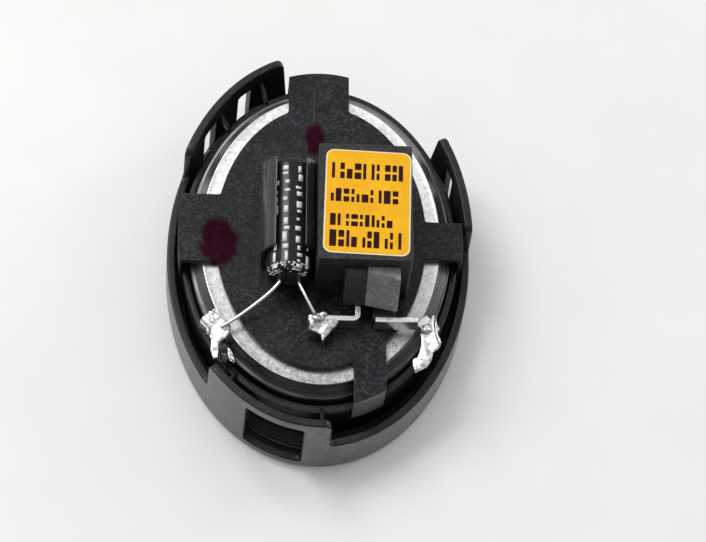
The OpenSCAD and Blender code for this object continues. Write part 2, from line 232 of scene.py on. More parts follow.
# carrier plastic, with two patches of dark ink
mc = plastic("carrier_satin", (0.0024, 0.0026, 0.0038), (0.0070, 0.0075, 0.0100), 0.30, 0.50, scuffs=0.6, spec=0.21, mottle=0.9)
def patch_mask(m_, cx, cy, rx, ry, wob, wscale, soft=0.16):
    """1 inside a ragged oval on the XY plane (millimetres)."""
    v_ = m_.coords(scale=(1 / (rx * MM), 1 / (ry * MM), 0), loc=(-cx / rx, -cy / ry, 0))
    n_ = m_.node("ShaderNodeVectorMath", operation="LENGTH")
    m_.t.links.new(v_, n_.inputs[0])
    d_ = m_.math("ADD", n_.outputs["Value"], m_.math("MULTIPLY", m_.math("SUBTRACT", m_.noise(wscale, 4, 0.65), 0.5), wob))
    r_ = m_.node("ShaderNodeMapRange")
    m_.t.links.new(d_, r_.inputs["Value"])
    r_.inputs["From Min"].default_value = 1.0 - soft
    r_.inputs["From Max"].default_value = 1.0 + soft
    r_.inputs["To Min"].default_value = 1
    r_.inputs["To Max"].default_value = 0
    return r_.outputs["Result"]


ink = mc.math("MAXIMUM", patch_mask(mc, -14.75, -2.1, 2.6, 4.0, 1.1, 420), patch_mask(mc, -1.0, 15.9, 1.35, 2.75, 0.9, 500))
old = mc.b.inputs["Base Color"].links[0].from_socket
inkt = mc.mix(mc.ramp(mc.noise(900, 3), [(0.35, 0.0), (0.65, 1.0)]), (0.016, 0.0012, 0.0060), (0.036, 0.0020, 0.0120))
# a fine moulding line down the north arm
ln = mc.math("MULTIPLY", mc.math("LESS_THAN", mc.math("ABSOLUTE", mc.math("ADD", mc.sep(0), 0.00122)), 0.00006),
             mc.math("MULTIPLY", mc.math("GREATER_THAN", mc.sep(1), 0.0135), mc.math("LESS_THAN", mc.sep(1), 0.0240)))
old = mc.mix(mc.math("MULTIPLY", ln, 0.5), old, (0.09, 0.09, 0.10))
sp_ = mc.node("ShaderNodeMapRange")
mc.t.links.new(ink, sp_.inputs["Value"])
sp_.inputs["To Min"].default_value = 0.21
sp_.inputs["To Max"].default_value = 0.02
mc.t.links.new(sp_.outputs["Result"], mc.b.inputs["Specular IOR Level"])
mc.color(mc.mix(mc.math("MULTIPLY", ink, 0.94), old, inkt))
M["carrier"] = mc.m

mh = plastic("connector_satin", (0.008, 0.0072, 0.0082), (0.018, 0.0162, 0.0182), 0.38, 0.55, scuffs=0.3, spec=0.35)
M["housing"] = mh.m

# rear cup: plated steel, spangled, with tool marks round its axis
m = Mat("cup_plated", (0.62, 0.63, 0.64), 0.34, 1.0)
fine = m.noise(5200, 3, 0.75)
mid = m.noise(1500, 4, 0.7)
big = m.noise(230, 4, 0.6)
v = m.math("ADD", m.math("MULTIPLY", mid, 0.40), m.math("ADD", m.math("MULTIPLY", fine, 0.42), m.math("MULTIPLY", big, 0.18)))
cup_tone = m.mix(m.ramp(v, [(0.36, 0.0), (0.60, 1.0)]), (0.42, 0.42, 0.425), (0.96, 0.965, 0.97))
# painted shade: the cup's flat is darkened towards the south (negative y), in a mottled noise pattern
south_shade_ramp = m.node("ShaderNodeMapRange")
m.t.links.new(m.math("ADD", m.sep(1), m.math("MULTIPLY", m.math("SUBTRACT", m.noise(300, 4, 0.6), 0.5), 0.010)), south_shade_ramp.inputs["Value"])
south_shade_ramp.inputs["From Min"].default_value = -0.024
south_shade_ramp.inputs["From Max"].default_value = 0.002
south_shade_ramp.inputs["To Min"].default_value = 0.80
south_shade_ramp.inputs["To Max"].default_value = 0.0
painted_shade = m.math("MULTIPLY", south_shade_ramp.outputs["Result"], m.ramp(m.noise(2300, 4, 0.75), [(0.38, 0.35), (0.60, 1.0)]))
m.color(m.mix(painted_shade, cup_tone, (0.17, 0.17, 0.175)))
m.rough(m.math("ADD", m.math("MULTIPLY", mid, 0.30), 0.20))
n1 = m.bump(fine, 0.35, 0.00001)
m.bump(mid, 0.30, 0.00002, n1)
M["cup"] = m.m

m = Mat("cup_drawn_wall", (0.33, 0.33, 0.335), 0.34, 1.0)
line = m.noise(1.0, 3, 0.6, vec=m.coords(scale=(120, 120, 9000)))
wall_tone = m.mix(m.ramp(line, [(0.32, 0.0), (0.68, 1.0)]), (0.10, 0.10, 0.103), (0.38, 0.385, 0.39))
# painted shade: the drawn wall and shoulder are darkened towards the south (negative y)
south_shade_ramp = m.node("ShaderNodeMapRange")
m.t.links.new(m.sep(1), south_shade_ramp.inputs["Value"])
south_shade_ramp.inputs["From Min"].default_value = -0.022
south_shade_ramp.inputs["From Max"].default_value = 0.008
south_shade_ramp.inputs["To Min"].default_value = 0.85
south_shade_ramp.inputs["To Max"].default_value = 0.0
m.color(m.mix(south_shade_ramp.outputs["Result"], wall_tone, m.mix(m.ramp(line, [(0.4, 0.0), (0.75, 1.0)]), (0.018, 0.018, 0.019), (0.09, 0.09, 0.092))))
m.rough(m.math("ADD", m.math("MULTIPLY", m.noise(1400, 3), 0.22), 0.38))
m.bump(line, 0.5, 0.00002)
M["cup_wall"] = m.m

# tinned blades and leads
m = Mat("tinned", (0.80, 0.80, 0.78), 0.30, 1.0)
f = m.noise(1700, 4, 0.6)
m.color(m.mix(m.ramp(f, [(0.3, 0.0), (0.7, 1.0)]), (0.66, 0.655, 0.63), (0.93, 0.93, 0.91)))
m.rough(m.math("ADD", m.math("MULTIPLY", f, 0.25), 0.10))
m.bump(f, 0.3, 0.00002)
M["tin"] = m.m

m = Mat("solder", (0.80, 0.80, 0.79), 0.18, 1.0)
f = m.noise(1700, 5, 0.72)
g = m.noise(5200, 3, 0.6)
m.color(m.mix(m.ramp(f, [(0.36, 0.0), (0.56, 1.0)]), (0.30, 0.30, 0.285), (0.80, 0.80, 0.78)))
m.rough(m.math("ADD", m.math("MULTIPLY", g, 0.34), 0.16))
n1 = m.bump(f, 0.55, 0.00006)
m.bump(g, 0.3, 0.000012, n1)
M["solder"] = m.m

# capacitor sleeve: glossy heat-shrunk film
m = Mat("sleeve_film", (0.009, 0.009, 0.0105), 0.22, 0.0, Coat_Weight=0.12, Coat_Roughness=0.08)
m.b.inputs["Specular IOR Level"].default_value = 0.22
f = m.noise(420, 4, 0.55)
m.color(m.mix(m.ramp(f, [(0.35, 0.0), (0.7, 1.0)]), (0.007, 0.007, 0.0085), (0.016, 0.016, 0.018)))
m.rough(m.math("ADD", m.math("MULTIPLY", m.noise(1200, 3), 0.16), 0.12))
n1 = m.bump(f, 0.25, 0.00008)
m.bump(m.noise(6000, 2), 0.12, 0.00001, n1)
M["sleeve"] = m.m

m = Mat("sleeve_print", (0.72, 0.72, 0.70), 0.45)
f = m.noise(3800, 3, 0.7)
m.color(m.mix(m.ramp(f, [(0.30, 0.0), (0.62, 1.0)]), (0.60, 0.60, 0.585), (0.92, 0.92, 0.90)))
M["cap_print"] = m.m

m = Mat("bung_rubber", (0.012, 0.012, 0.012), 0.62)
f = m.noise(2400, 4, 0.6)
m.color(m.mix(f, (0.008, 0.008, 0.008), (0.028, 0.027, 0.026)))
m.bump(f, 0.4, 0.00003)
M["bung"] = m.m

m = Mat("can_aluminium", (0.78, 0.78, 0.79), 0.3, 1.0)
f = m.noise(1.0, 3, 0.6, vec=m.coords(scale=(2600, 120, 2600)))
m.color(m.mix(f, (0.60, 0.60, 0.61), (0.86, 0.86, 0.87)))
m.rough(m.math("ADD", m.math("MULTIPLY", f, 0.2), 0.2))
M["can"] = m.m

m = Mat("glue_dark", (0.022, 0.014, 0.009), 0.22, 0.0, Coat_Weight=0.3)
f = m.noise(1100, 4, 0.6)
m.color(m.mix(f, (0.010, 0.007, 0.005), (0.055, 0.036, 0.022)))
m.rough(m.math("ADD", m.math("MULTIPLY", f, 0.3), 0.12))
m.bump(f, 0.4, 0.00008)
M["glue"] = m.m

# label: printed paper, with fibre and a little soiling
m = Mat("label_orange", (0.95, 0.47, 0.012), 0.55)
f = m.noise(5200, 4, 0.7)
g = m.noise(330, 4, 0.6)
t = m.mix(m.ramp(g, [(0.35, 0.0), (0.7, 1.0)]), (0.84, 0.40, 0.002), (0.93, 0.505, 0.006))
m.color(m.mix(m.math("MULTIPLY", m.ramp(f, [(0.5, 0.0), (0.8, 1.0)]), 0.25), t, (0.78, 0.32, 0.01)))
m.rough(m.math("ADD", m.math("MULTIPLY", f, 0.2), 0.38))
m.bump(f, 0.25, 0.00001)
m.b.inputs["Specular IOR Level"].default_value = 0.2
M["label"] = m.m
m = Mat("label_cream", (0.86, 0.76, 0.50), 0.5)
f = m.noise(3600, 3)
m.color(m.mix(f, (0.78, 0.66, 0.40), (0.92, 0.84, 0.62)))
m.bump(f, 0.2, 0.00001)
M["cream"] = m.m
m = Mat("label_print", (0.045, 0.006, 0.010), 0.5)
f = m.noise(4200, 3, 0.7)
m.color(m.mix(m.ramp(f, [(0.45, 0.0), (0.75, 1.0)]), (0.016, 0.002, 0.004), (0.075, 0.010, 0.006)))
m.rough(m.math("ADD", m.math("MULTIPLY", f, 0.2), 0.4))
m.b.inputs["Specular IOR Level"].default_value = 0.1
M["print"] = m.m

# grille: powder-coated sheet
m = Mat("grille_coat", (0.016, 0.016, 0.017), 0.42)
f = m.noise(3600, 3, 0.6)
g = m.noise(500, 4)
m.color(m.mix(g, (0.011, 0.011, 0.012), (0.024, 0.024, 0.026)))
m.rough(m.math("ADD", m.math("MULTIPLY", g, 0.2), 0.32))
m.bump(f, 0.7, 0.00003)
M["grille"] = m.m

m = Mat("foam", (0.03, 0.03, 0.03), 0.9)
f = m.voronoi(2600, "F1", "Distance")
m.color(m.mix(m.ramp(f, [(0.1, 0.0), (0.6, 1.0)]), (0.004, 0.004, 0.004), (0.016, 0.016, 0.016)))
m.bump(f, 1.0, 0.0002)
M["foam"] = m.m

# dome: woven silk with a doped gloss
m = Mat("silk", (0.02, 0.02, 0.022), 0.45, 0.0, Coat_Weight=0.25, Coat_Roughness=0.3)
wx = m.node("ShaderNodeTexWave", wave_type="BANDS", bands_direction="X")
wy = m.node("ShaderNodeTexWave", wave_type="BANDS", bands_direction="Y")
for w_ in (wx, wy):
    m.t.links.new(m.co, w_.inputs["Vector"])
    w_.inputs["Scale"].default_value = 900
    w_.inputs["Distortion"].default_value = 0.6
wv = m.math("MAXIMUM", wx.outputs["Fac"], wy.outputs["Fac"])
m.color(m.mix(wv, (0.008, 0.008, 0.010), (0.040, 0.040, 0.043)))
m.rough(m.math("ADD", m.math("MULTIPLY", m.noise(600, 3), 0.25), 0.32))
m.bump(wv, 0.6, 0.00004)
M["silk"] = m.m

m = Mat("surround_coated", (0.015, 0.015, 0.016), 0.5)
f = m.noise(2100, 4)
m.color(m.mix(f, (0.009, 0.009, 0.010), (0.028, 0.028, 0.030)))
m.rough(m.math("ADD", m.math("MULTIPLY", f, 0.25), 0.38))
m.bump(f, 0.4, 0.00003)
M["surround"] = m.m

m = Mat("film", (0.55, 0.36, 0.12), 0.35)
f = m.noise(1800, 3)
m.color(m.mix(f, (0.46, 0.28, 0.08), (0.62, 0.42, 0.16)))
M["film"] = m.m
m = Mat("copper_wire", (0.72, 0.30, 0.13), 0.3, 1.0)
f = m.noise(1.0, 2, 0.5, vec=m.coords(scale=(60, 60, 26000)))
m.color(m.mix(f, (0.50, 0.18, 0.07), (0.85, 0.42, 0.2)))
m.bump(f, 0.6, 0.00003)
M["copper"] = m.m
m = Mat("steel", (0.45, 0.455, 0.46), 0.4, 1.0)
f = m.noise(1500, 4)
m.color(m.mix(f, (0.34, 0.345, 0.35), (0.56, 0.565, 0.57)))
m.rough(m.math("ADD", m.math("MULTIPLY", f, 0.3), 0.25))
M["steel"] = m.m
m = Mat("felt", (0.30, 0.29, 0.26), 0.95, 0.0, Sheen_Weight=0.4)
f = m.noise(1.0, 5, 0.75, vec=m.coords(scale=(2600, 900, 2600)))
m.color(m.mix(f, (0.16, 0.155, 0.14), (0.42, 0.41, 0.37)))
m.bump(f, 1.0, 0.0002)
M["felt"] = m.m

m = Mat("pale_table", (0.80, 0.79, 0.79), 0.42)
f = m.noise(14, 5, 0.6)
g = m.noise(120, 4, 0.6)
m.color(m.mix(m.ramp(m.math("ADD", m.math("MULTIPLY", f, 0.7), m.math("MULTIPLY", g, 0.3)), [(0.35, 0.0), (0.65, 1.0)]), (0.84, 0.83, 0.812), (0.885, 0.875, 0.858)))
M["floor"] = m.m

# ---------------------------------------------------------------- mesh kit


def clean(me, dist=3e-7):
    bm = bmesh.new()
    bm.from_mesh(me)
    bmesh.ops.remove_doubles(bm, verts=bm.verts, dist=dist)
    bmesh.ops.recalc_face_normals(bm, faces=bm.faces)
    for f_ in bm.faces:
        f_.smooth = True
    bm.to_mesh(me)
    bm.free()


def make(name, verts, faces, mats, idx=None):
    """Object from millimetre points. mats is a material or a list; idx gives each face's."""
    me = bpy.data.meshes.new(name)
    me.from_pydata([(p[0] * MM, p[1] * MM, p[2] * MM) for p in verts], [], faces)
    for q in mats if isinstance(mats, (list, tuple)) else [mats]:
        me.materials.append(q)
    if idx is not None:
        me.polygons.foreach_set("material_index", idx)
    clean(me)
    o = bpy.data.objects.new(name, me)
    scene.collection.objects.link(o)
    return o


def bake(o):
    """Turns the object's modifiers into its mesh."""
    dg = bpy.context.evaluated_depsgraph_get()
    dg.update()
    me = bpy.data.meshes.new_from_object(o.evaluated_get(dg), preserve_all_data_layers=True, depsgraph=dg)
    o.modifiers.clear()
    old_ = o.data
    o.data = me
    me.name = o.name
    bpy.data.meshes.remove(old_)
    return o


def bevel(o, w, seg=3, ang=35, weighted=True):
    b = o.modifiers.new("bevel", "BEVEL")
    b.width = w * MM
    b.segments = seg
    b.limit_method = "ANGLE"
    b.angle_limit = rad(ang)
    b.use_clamp_overlap = True
    b.miter_outer = "MITER_ARC"
    if weighted:
        n = o.modifiers.new("normals", "WEIGHTED_NORMAL")
        n.weight = 90
        n.keep_sharp = False
    return bake(o)


def weigh(o, w=60):
    n = o.modifiers.new("normals", "WEIGHTED_NORMAL")
    n.weight = w
    return bake(o)


def cut(o, tool, op="DIFFERENCE"):
    b = o.modifiers.new("cut", "BOOLEAN")
    b.operation = op
    b.solver = "EXACT"
    b.object = tool
    bake(o)
    me = tool.data
    bpy.data.objects.remove(tool)
    bpy.data.meshes.remove(me)
    return o


def prism(name, poly, z0, z1, mat, axis="z"):
    """Upright prism. axis "y": poly is (x, z) and it runs from y = z0 to z1."""
    n = len(poly)
    if axis == "z":
        vs = [(p[0], p[1], z0) for p in poly] + [(p[0], p[1], z1) for p in poly]
    elif axis == "y":
        vs = [(p[0], z0, p[1]) for p in poly] + [(p[0], z1, p[1]) for p in poly]
    else:
        vs = [(z0, p[0], p[1]) for p in poly] + [(z1, p[0], p[1]) for p in poly]
    fs = [tuple(range(n)), tuple(range(2 * n - 1, n - 1, -1))]
    fs += [(i, (i + 1) % n, n + (i + 1) % n, n + i) for i in range(n)]
    return make(name, vs, fs, mat)


def block(name, x0, x1, y0, y1, z0, z1, mat):
    return prism(name, [(x0, y0), (x1, y0), (x1, y1), (x0, y1)], z0, z1, mat)


def fillet(poly, radii, n=5):
    """Rounds chosen corners of a polygon: radii is {index: radius}."""
    out = []
    N = len(poly)
    for i, p in enumerate(poly):
        r = radii.get(i, 0) if isinstance(radii, dict) else radii
        if not r:
            out.append(tuple(p))
            continue
        p = Vector(p[:2])
        a = Vector(poly[i - 1][:2]) - p
        b = Vector(poly[(i + 1) % N][:2]) - p
        la, lb = a.length, b.length
        a.normalize(); b.normalize()
        ang = a.angle(b)
        if ang > pi - 0.02:
            out.append(tuple(p))
            continue
        d = min(r / math.tan(ang / 2), la * 0.49, lb * 0.49)
        rr = d * math.tan(ang / 2)
        c = p + (a + b).normalized() * (rr / sin(ang / 2))
        s_, e_ = p + a * d, p + b * d
        a0 = math.atan2(*(s_ - c).yx)
        a1 = math.atan2(*(e_ - c).yx)
        while a1 - a0 > pi: a1 -= 2 * pi
        while a1 - a0 < -pi: a1 += 2 * pi
        for k in range(n + 1):
            t_ = a0 + (a1 - a0) * k / n
            out.append((c.x + rr * cos(t_), c.y + rr * sin(t_)))
    return out


def lathe(name, profile, mat, n=192, closed=True, idx=None):
    """Sweeps a profile of (half width, half length, z) round the upright axis."""
    m_ = len(profile)
    vs, fs, mi = [], [], []
    for i in range(n):
        t_ = 2 * pi * i / n
        for (a, b, z) in profile:
            vs.append((a * cos(t_), b * sin(t_), z))
    for i in range(n):
        j = (i + 1) % n
        for k in range(m_ if closed else m_ - 1):
            l = (k + 1) % m_
            fs.append((i * m_ + k, j * m_ + k, j * m_ + l, i * m_ + l))
            mi.append(idx[k] if idx else 0)
    return vs, fs, mi


def roundover(p0, corner, p1, r, n=4):
    """Profile points that round a corner of an (a, b, z) profile, r mm on each side."""
    c = Vector(corner)
    u = (Vector(p0) - c); v = (Vector(p1) - c)
    def along(w_):
        # one millimetre along this leg, measured on the a and z axes
        L_ = math.hypot(w_.x, w_.z)
        return w_ / L_ if L_ > 1e-9 else w_
    u, v = along(u), along(v)
    out = []
    for k in range(n + 1):
        t_ = k / n * pi / 2
        out.append(tuple(c + u * r * (1 - sin(t_)) + v * r * (1 - cos(t_))))
    return out


# The casing outline: parameter <-> arc length on the outer oval
CA, CB = 22.3, 30.95
NT = 4000
_tt = np.linspace(0, 2 * pi, NT + 1)
_dx = np.hypot(CA * np.sin(_tt), CB * np.cos(_tt))
_ss = np.concatenate([[0], np.cumsum((_dx[1:] + _dx[:-1]) / 2 * (2 * pi / NT))])
LEN = float(_ss[-1])


def t_of_s(s):
    return float(np.interp(s, _ss, _tt))


def s_of_xy(x, y):
    t_ = math.atan2(y / CB, x / CA) % (2 * pi)
    return float(np.interp(t_, _tt, _ss))


def lean(z):
    return -0.06 + 0.34 * max(0, z - 1.3) / 12.6


def wall_pt(s, z, depth):
    t_ = t_of_s(s)
    nx, ny = cos(t_) / CA, sin(t_) / CB
    L_ = math.hypot(nx, ny)
    d = depth + lean(z)
    return (CA * cos(t_) - nx / L_ * d, CB * sin(t_) - ny / L_ * d, z)


def offset_pts(pts, d, closed):
    """Moves a line of 2D points to its left by d."""
    n = len(pts)
    out = []
    for i, p in enumerate(pts):
        p = Vector(p)
        a = Vector(pts[i - 1]) if (closed or i > 0) else None
        b = Vector(pts[(i + 1) % n]) if (closed or i < n - 1) else None
        e1 = (p - a).normalized() if a is not None and (p - a).length > 1e-9 else None
        e2 = (b - p).normalized() if b is not None and (b - p).length > 1e-9 else None
        if e1 is None: e1 = e2
        if e2 is None: e2 = e1
        n1, n2 = Vector((-e1.y, e1.x)), Vector((-e2.y, e2.x))
        m_ = n1 + n2
        if m_.length < 1e-6:
            m_ = n1
        m_.normalize()
        out.append(tuple(p + m_ * (d / max(0.5, m_.dot(n1)))))
    return out


def inside(poly, pts):
    """Even-odd test of many points in one polygon."""
    pts = np.asarray(pts, float)
    x, y = pts[:, 0], pts[:, 1]
    p = np.asarray(poly, float)
    q = np.roll(p, -1, 0)
    r_ = np.zeros(len(pts), bool)
    for (x0, y0), (x1, y1) in zip(p, q):
        if y0 == y1:
            continue
        c = ((y0 > y) != (y1 > y)) & (x < (x1 - x0) * (y - y0) / (y1 - y0) + x0)
        r_ ^= c
    return r_


def triangulate(outer, holes, step, jitter=0.0, keep=0.45):
    """Points and triangles of a region with holes, with a grid of points inside it."""
    lo = np.min(outer, 0); hi = np.max(outer, 0)
    gx = np.arange(lo[0] + step / 2, hi[0], step)
    gy = np.arange(lo[1] + step / 2, hi[1], step * 0.866)
    grid = np.array([(x + (step / 2 if k % 2 else 0), y) for k, y in enumerate(gy) for x in gx])
    ok = inside(outer, grid)
    for h in holes:
        ok &= ~inside(h, grid)
    grid = grid[ok]
    rim = np.array([p for l in [outer] + list(holes) for p in l])
    if len(grid):
        d = np.full(len(grid), 1e9)
        for i in range(0, len(rim), 64):
            d = np.minimum(d, np.min(np.hypot(grid[:, None, 0] - rim[None, i:i + 64, 0], grid[:, None, 1] - rim[None, i:i + 64, 1]), 1))
        grid = grid[d > step * keep]
    pts = [Vector(p) for p in rim] + [Vector(p) for p in grid]
    edges, k = [], 0
    for l in [outer] + list(holes):
        n = len(l)
        edges += [(k + i, k + (i + 1) % n) for i in range(n)]
        k += n
    vs, _, fs, _, _, _ = delaunay_2d_cdt(pts, edges, [], 0, 1e-7)
    cen = np.array([np.mean([vs[i][:] for i in f_], 0) for f_ in fs])
    ok = inside(outer, cen)
    for h in holes:
        ok &= ~inside(h, cen)
    return [tuple(v_) for v_ in vs], [f_ for f_, k_ in zip(fs, ok) if k_]


def rounded_sheet(outer, holes, place, thick, r, step, arcs=3):
    """Thick sheet over a 2D region, with rounded edges: place(u, v, depth) gives each point.
    outer runs anticlockwise and holes clockwise, so the sheet is on their left."""
    vs, fs = [], []

    def add(pts, depth):
        k = len(vs)
        vs.extend(place(p[0], p[1], depth) for p in pts)
        return k
    ins = [offset_pts(outer, r, True)] + [offset_pts(h, r, True) for h in holes]
    tp, tf = triangulate(ins[0], ins[1:], step)
    for depth, flip in ((0, False), (thick, True)):
        k = add(tp, depth)
        fs.extend(tuple(k + i for i in (reversed(f_) if flip else f_)) for f_ in tf)
    for loop in [outer] + list(holes):
        rings = []
        for q in range(arcs + 1):
            t_ = q / arcs * pi / 2
            rings.append(add(offset_pts(loop, r * (1 - sin(t_)), True), r * (1 - cos(t_))))
        for q in range(arcs + 1):
            t_ = (1 - q / arcs) * pi / 2
            rings.append(add(offset_pts(loop, r * (1 - sin(t_)), True), thick - r * (1 - cos(t_))))
        n = len(loop)
        for k0, k1 in zip(rings, rings[1:]):
            fs.extend((k0 + i, k0 + (i + 1) % n, k1 + (i + 1) % n, k1 + i) for i in range(n))
    return vs, fs


# ------------------------------------------------------------------ casing
LOW, TAB, WALL, PLATE = 7.4, 13.9, 1.2, 1.3


def build_casing():
    tabs = [((-15.6, -21.5), (1.9, -30.8)), ((-6.2, 28.9), (-20.3, 12.2)), ((21.9, 0.9), (17.9, 16.4))]
    spans = sorted((s_of_xy(*a), s_of_xy(*b)) for a, b in tabs)
    # top line, from s = 0 to LEN, in fine steps, corners rounded
    # heights before, and slopes at the two ends of, the east, west and south tabs
    NORTH = 2.8
    ends = [(LOW, NORTH, 0.12, 1.9), (NORTH, LOW, 1.1, 0.15), (LOW, LOW, 0.12, 0.12)]
    line = [(0.0, LOW)]
    rad_at = {}
    for (a, b), (h0, h1, w0, w1) in zip(spans, ends):
        for p, r_ in (((a - (w0 if w0 > 0.5 else 0), h0), 0.7), ((a + (0 if w0 > 0.5 else w0), TAB), 1.3),
                      ((b - (0 if w1 > 0.5 else w1), TAB), 1.3), ((b + (w1 if w1 > 0.5 else 0), h1), 0.7)):
            rad_at[len(line)] = r_
            line.append(p)
    line.append((LEN, LOW))
    # fillet() treats the line as closed; its two ends have no radius
    line = fillet(line, rad_at, 6)
    top = [line[0]]
    for p in line[1:]:
        q = top[-1]
        n = max(1, int(math.hypot(p[0] - q[0], p[1] - q[1]) / 0.75))
        for k in range(1, n + 1):
            top.append((q[0] + (p[0] - q[0]) * k / n, q[1] + (p[1] - q[1]) * k / n))
    # windows
    wins = []
    for x, y, w_ in ((-6.3, -29.2, 8.9), (-12.2, 25.1, 2.6), (-17.2, 18.5, 3.5), (19.9, 12.1, 2.6)):
        s0 = s_of_xy(x, y)
        z0, z1 = 1.9, (11.9 if w_ > 5 else 10.9)
        rect = [(s0 - w_ / 2, z0), (s0 - w_ / 2, z1), (s0 + w_ / 2, z1), (s0 + w_ / 2, z0)]
        rect = fillet(rect, 0.45, 4)
        full = []
        for i, p in enumerate(rect):
            q = rect[(i + 1) % len(rect)]
            n = max(1, int(math.hypot(q[0] - p[0], q[1] - p[1]) / 0.75))
            full += [(p[0] + (q[0] - p[0]) * k / n, p[1] + (q[1] - p[1]) * k / n) for k in range(n)]
        wins.append(full)  # clockwise in (s, z), the wall on its left
    r = 0.22
    nb = 248
    zb = PLATE
    bottom = [(LEN * i / nb, zb) for i in range(nb + 1)]
    # top line runs right to left so that the wall is on its left
    tl = top[::-1]
    vs, fs = [], []

    def add(pts, depth):
        k = len(vs)
        vs.extend(wall_pt(p[0], p[1], depth) for p in pts)
        return k

    def inset(pts, d, closed):
        o = offset_pts(pts, d, closed)
        if not closed:
            o[0] = (pts[0][0], pts[0][1] - d)
            o[-1] = (pts[-1][0], pts[-1][1] - d)
        return o
    ti = inset(tl, r, False)
    zs = np.linspace(zb, ti[0][1], 8)[1:-1]
    outer = bottom + [(LEN, z) for z in zs] + ti + [(0.0, z) for z in zs[::-1]]
    holes = [inset(w_, r, True) for w_ in wins]
    tp, tf = triangulate(outer, holes, 0.85)
    for depth, flip in ((0.0, False), (WALL, True)):
        k = add(tp, depth)
        fs.extend(tuple(k + i for i in (reversed(f_) if flip else f_)) for f_ in tf)
        if not flip:
            n_out = len(fs)
    for loop, closed in [(tl, False)] + [(w_, True) for w_ in wins]:
        rings = []
        for q in range(4):
            t_ = q / 3 * pi / 2
            rings.append(add(inset(loop, r * (1 - sin(t_)), closed), r * (1 - cos(t_))))
        for q in range(4):
            t_ = (1 - q / 3) * pi / 2
            rings.append(add(inset(loop, r * (1 - sin(t_)), closed), WALL - r * (1 - cos(t_))))
        n = len(loop)
        for k0, k1 in zip(rings, rings[1:]):
            for i in range(n if closed else n - 1):
                j = (i + 1) % n
                fs.append((k0 + i, k0 + j, k1 + j, k1 + i))
    # front plate: from the wall's outside, round the front edge, to the mouth and back
    ma, mb = 17.4, 26.0
    prof = []
    for i in range(nb):
        s = LEN * i / nb
        t_ = t_of_s(s)
        W = Vector(wall_pt(s, zb, 0))
        I = Vector(wall_pt(s, zb, WALL))
        nrm = (Vector((W.x, W.y, 0)) - Vector((I.x, I.y, 0))).normalized()
        Mo = Vector((ma * cos(t_), mb * sin(t_), 0))
        col = [W]
        R = 0.75
        for k in range(0, 7):
            a_ = k / 6 * pi / 2
            col.append(Vector((W.x, W.y, 0)) - nrm * R * (1 - cos(a_)) + Vector((0, 0, R * (1 - sin(a_)))))
        E = col[-1]
        for k in (0.35, 0.7):
            col.append(E.lerp(Mo, k))
        rm = 0.35
        inw = (E - Mo).normalized()
        for k in range(0, 5):
            a_ = k / 4 * pi / 2
            col.append(Mo + inw * rm * (1 - sin(a_)) + Vector((0, 0, rm * (1 - cos(a_)))))
        col.append(Mo + Vector((0, 0, PLATE)))
        col.append(Mo.lerp(Vector((I.x, I.y, 0)), 0.5) + Vector((0, 0, PLATE)))
        col.append(I)
        prof.append(col)
    out_f = set()
    k = len(vs)
    m_ = len(prof[0])
    for col in prof:
        vs.extend(tuple(p) for p in col)
    for i in range(nb):
        j = (i + 1) % nb
        for q in range(m_ - 1):
            fs.append((k + i * m_ + q, k + i * m_ + q + 1, k + j * m_ + q + 1, k + j * m_ + q))
            if q < 4:
                out_f.add(len(fs) - 1)
    # outer faces and the front edge's rounding take the paler outer finish: painted sheen from the bright table, with
    # some wear
    mi = [1 if (i < n_out or i in out_f) else 0 for i in range(len(fs))]
    o = make("casing_shell", vs, fs, [M["casing"], M["casing_out"]], mi)
    weigh(o, 70)
    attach(o, "housing"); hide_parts("bezel_ring")
    # snap ribs over the driver frame
    for k, a_ in enumerate((241, 271, 109, 126)):
        a = rad(a_)
        rf = 1 / math.sqrt((cos(a) / 20.0) ** 2 + (sin(a) / 26.6) ** 2)
        rc = 1 / math.sqrt((cos(a) / CA) ** 2 + (sin(a) / CB) ** 2) - 0.7
        pr = [(rf - 0.45, 9.75), (rc, 9.75), (rc, 11.3), (rf + 0.3, 10.75), (rf - 0.45, 10.1)]
        vs = [(p[0], -0.27, p[1]) for p in pr] + [(p[0], 0.27, p[1]) for p in pr]
        n = len(pr)
        fs = [tuple(range(n)), tuple(range(2 * n - 1, n - 1, -1))] + [(i, (i + 1) % n, n + (i + 1) % n, n + i) for i in range(n)]
        vs = [(x * cos(a) - y * sin(a), x * sin(a) + y * cos(a), z) for x, y, z in vs]
        rb = make("casing_rib_%d" % (k + 1), vs, fs, M["casing"])
        bevel(rb, 0.09, 2)
        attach(rb, "housing")


build_casing()

# ------------------------------------------------------------ driver frame


def ring_object(name, prof, mats, idx=None, n=224):
    vs, fs, mi = lathe(name, prof, mats, n, True, idx)
    return make(name, vs, fs, mats, mi)


def build_frame():
    p = [(20.15, 26.85, 2.6)]
    p += roundover((20.15, 26.85, 2.6), (20.15, 26.85, 9.7), (19.2, 25.6, 9.7), 0.28, 4)
    p += roundover((20.0, 26.4, 9.7), (19.27, 25.47, 9.7), (19.27, 25.47, 8.0), 0.14, 3)
    p += [(19.2, 25.4, 8.0), (12.4, 12.4, 8.0), (12.4, 12.4, 6.5), (17.9, 24.4, 6.5), (17.9, 24.4, 2.6)]
    o = ring_object("frame_moulding", p, M["frame"])
    weigh(o, 60)
    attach(o, "housing"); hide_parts("driver_frame")


build_frame()

# --------------------------------------------------------------- rear cup


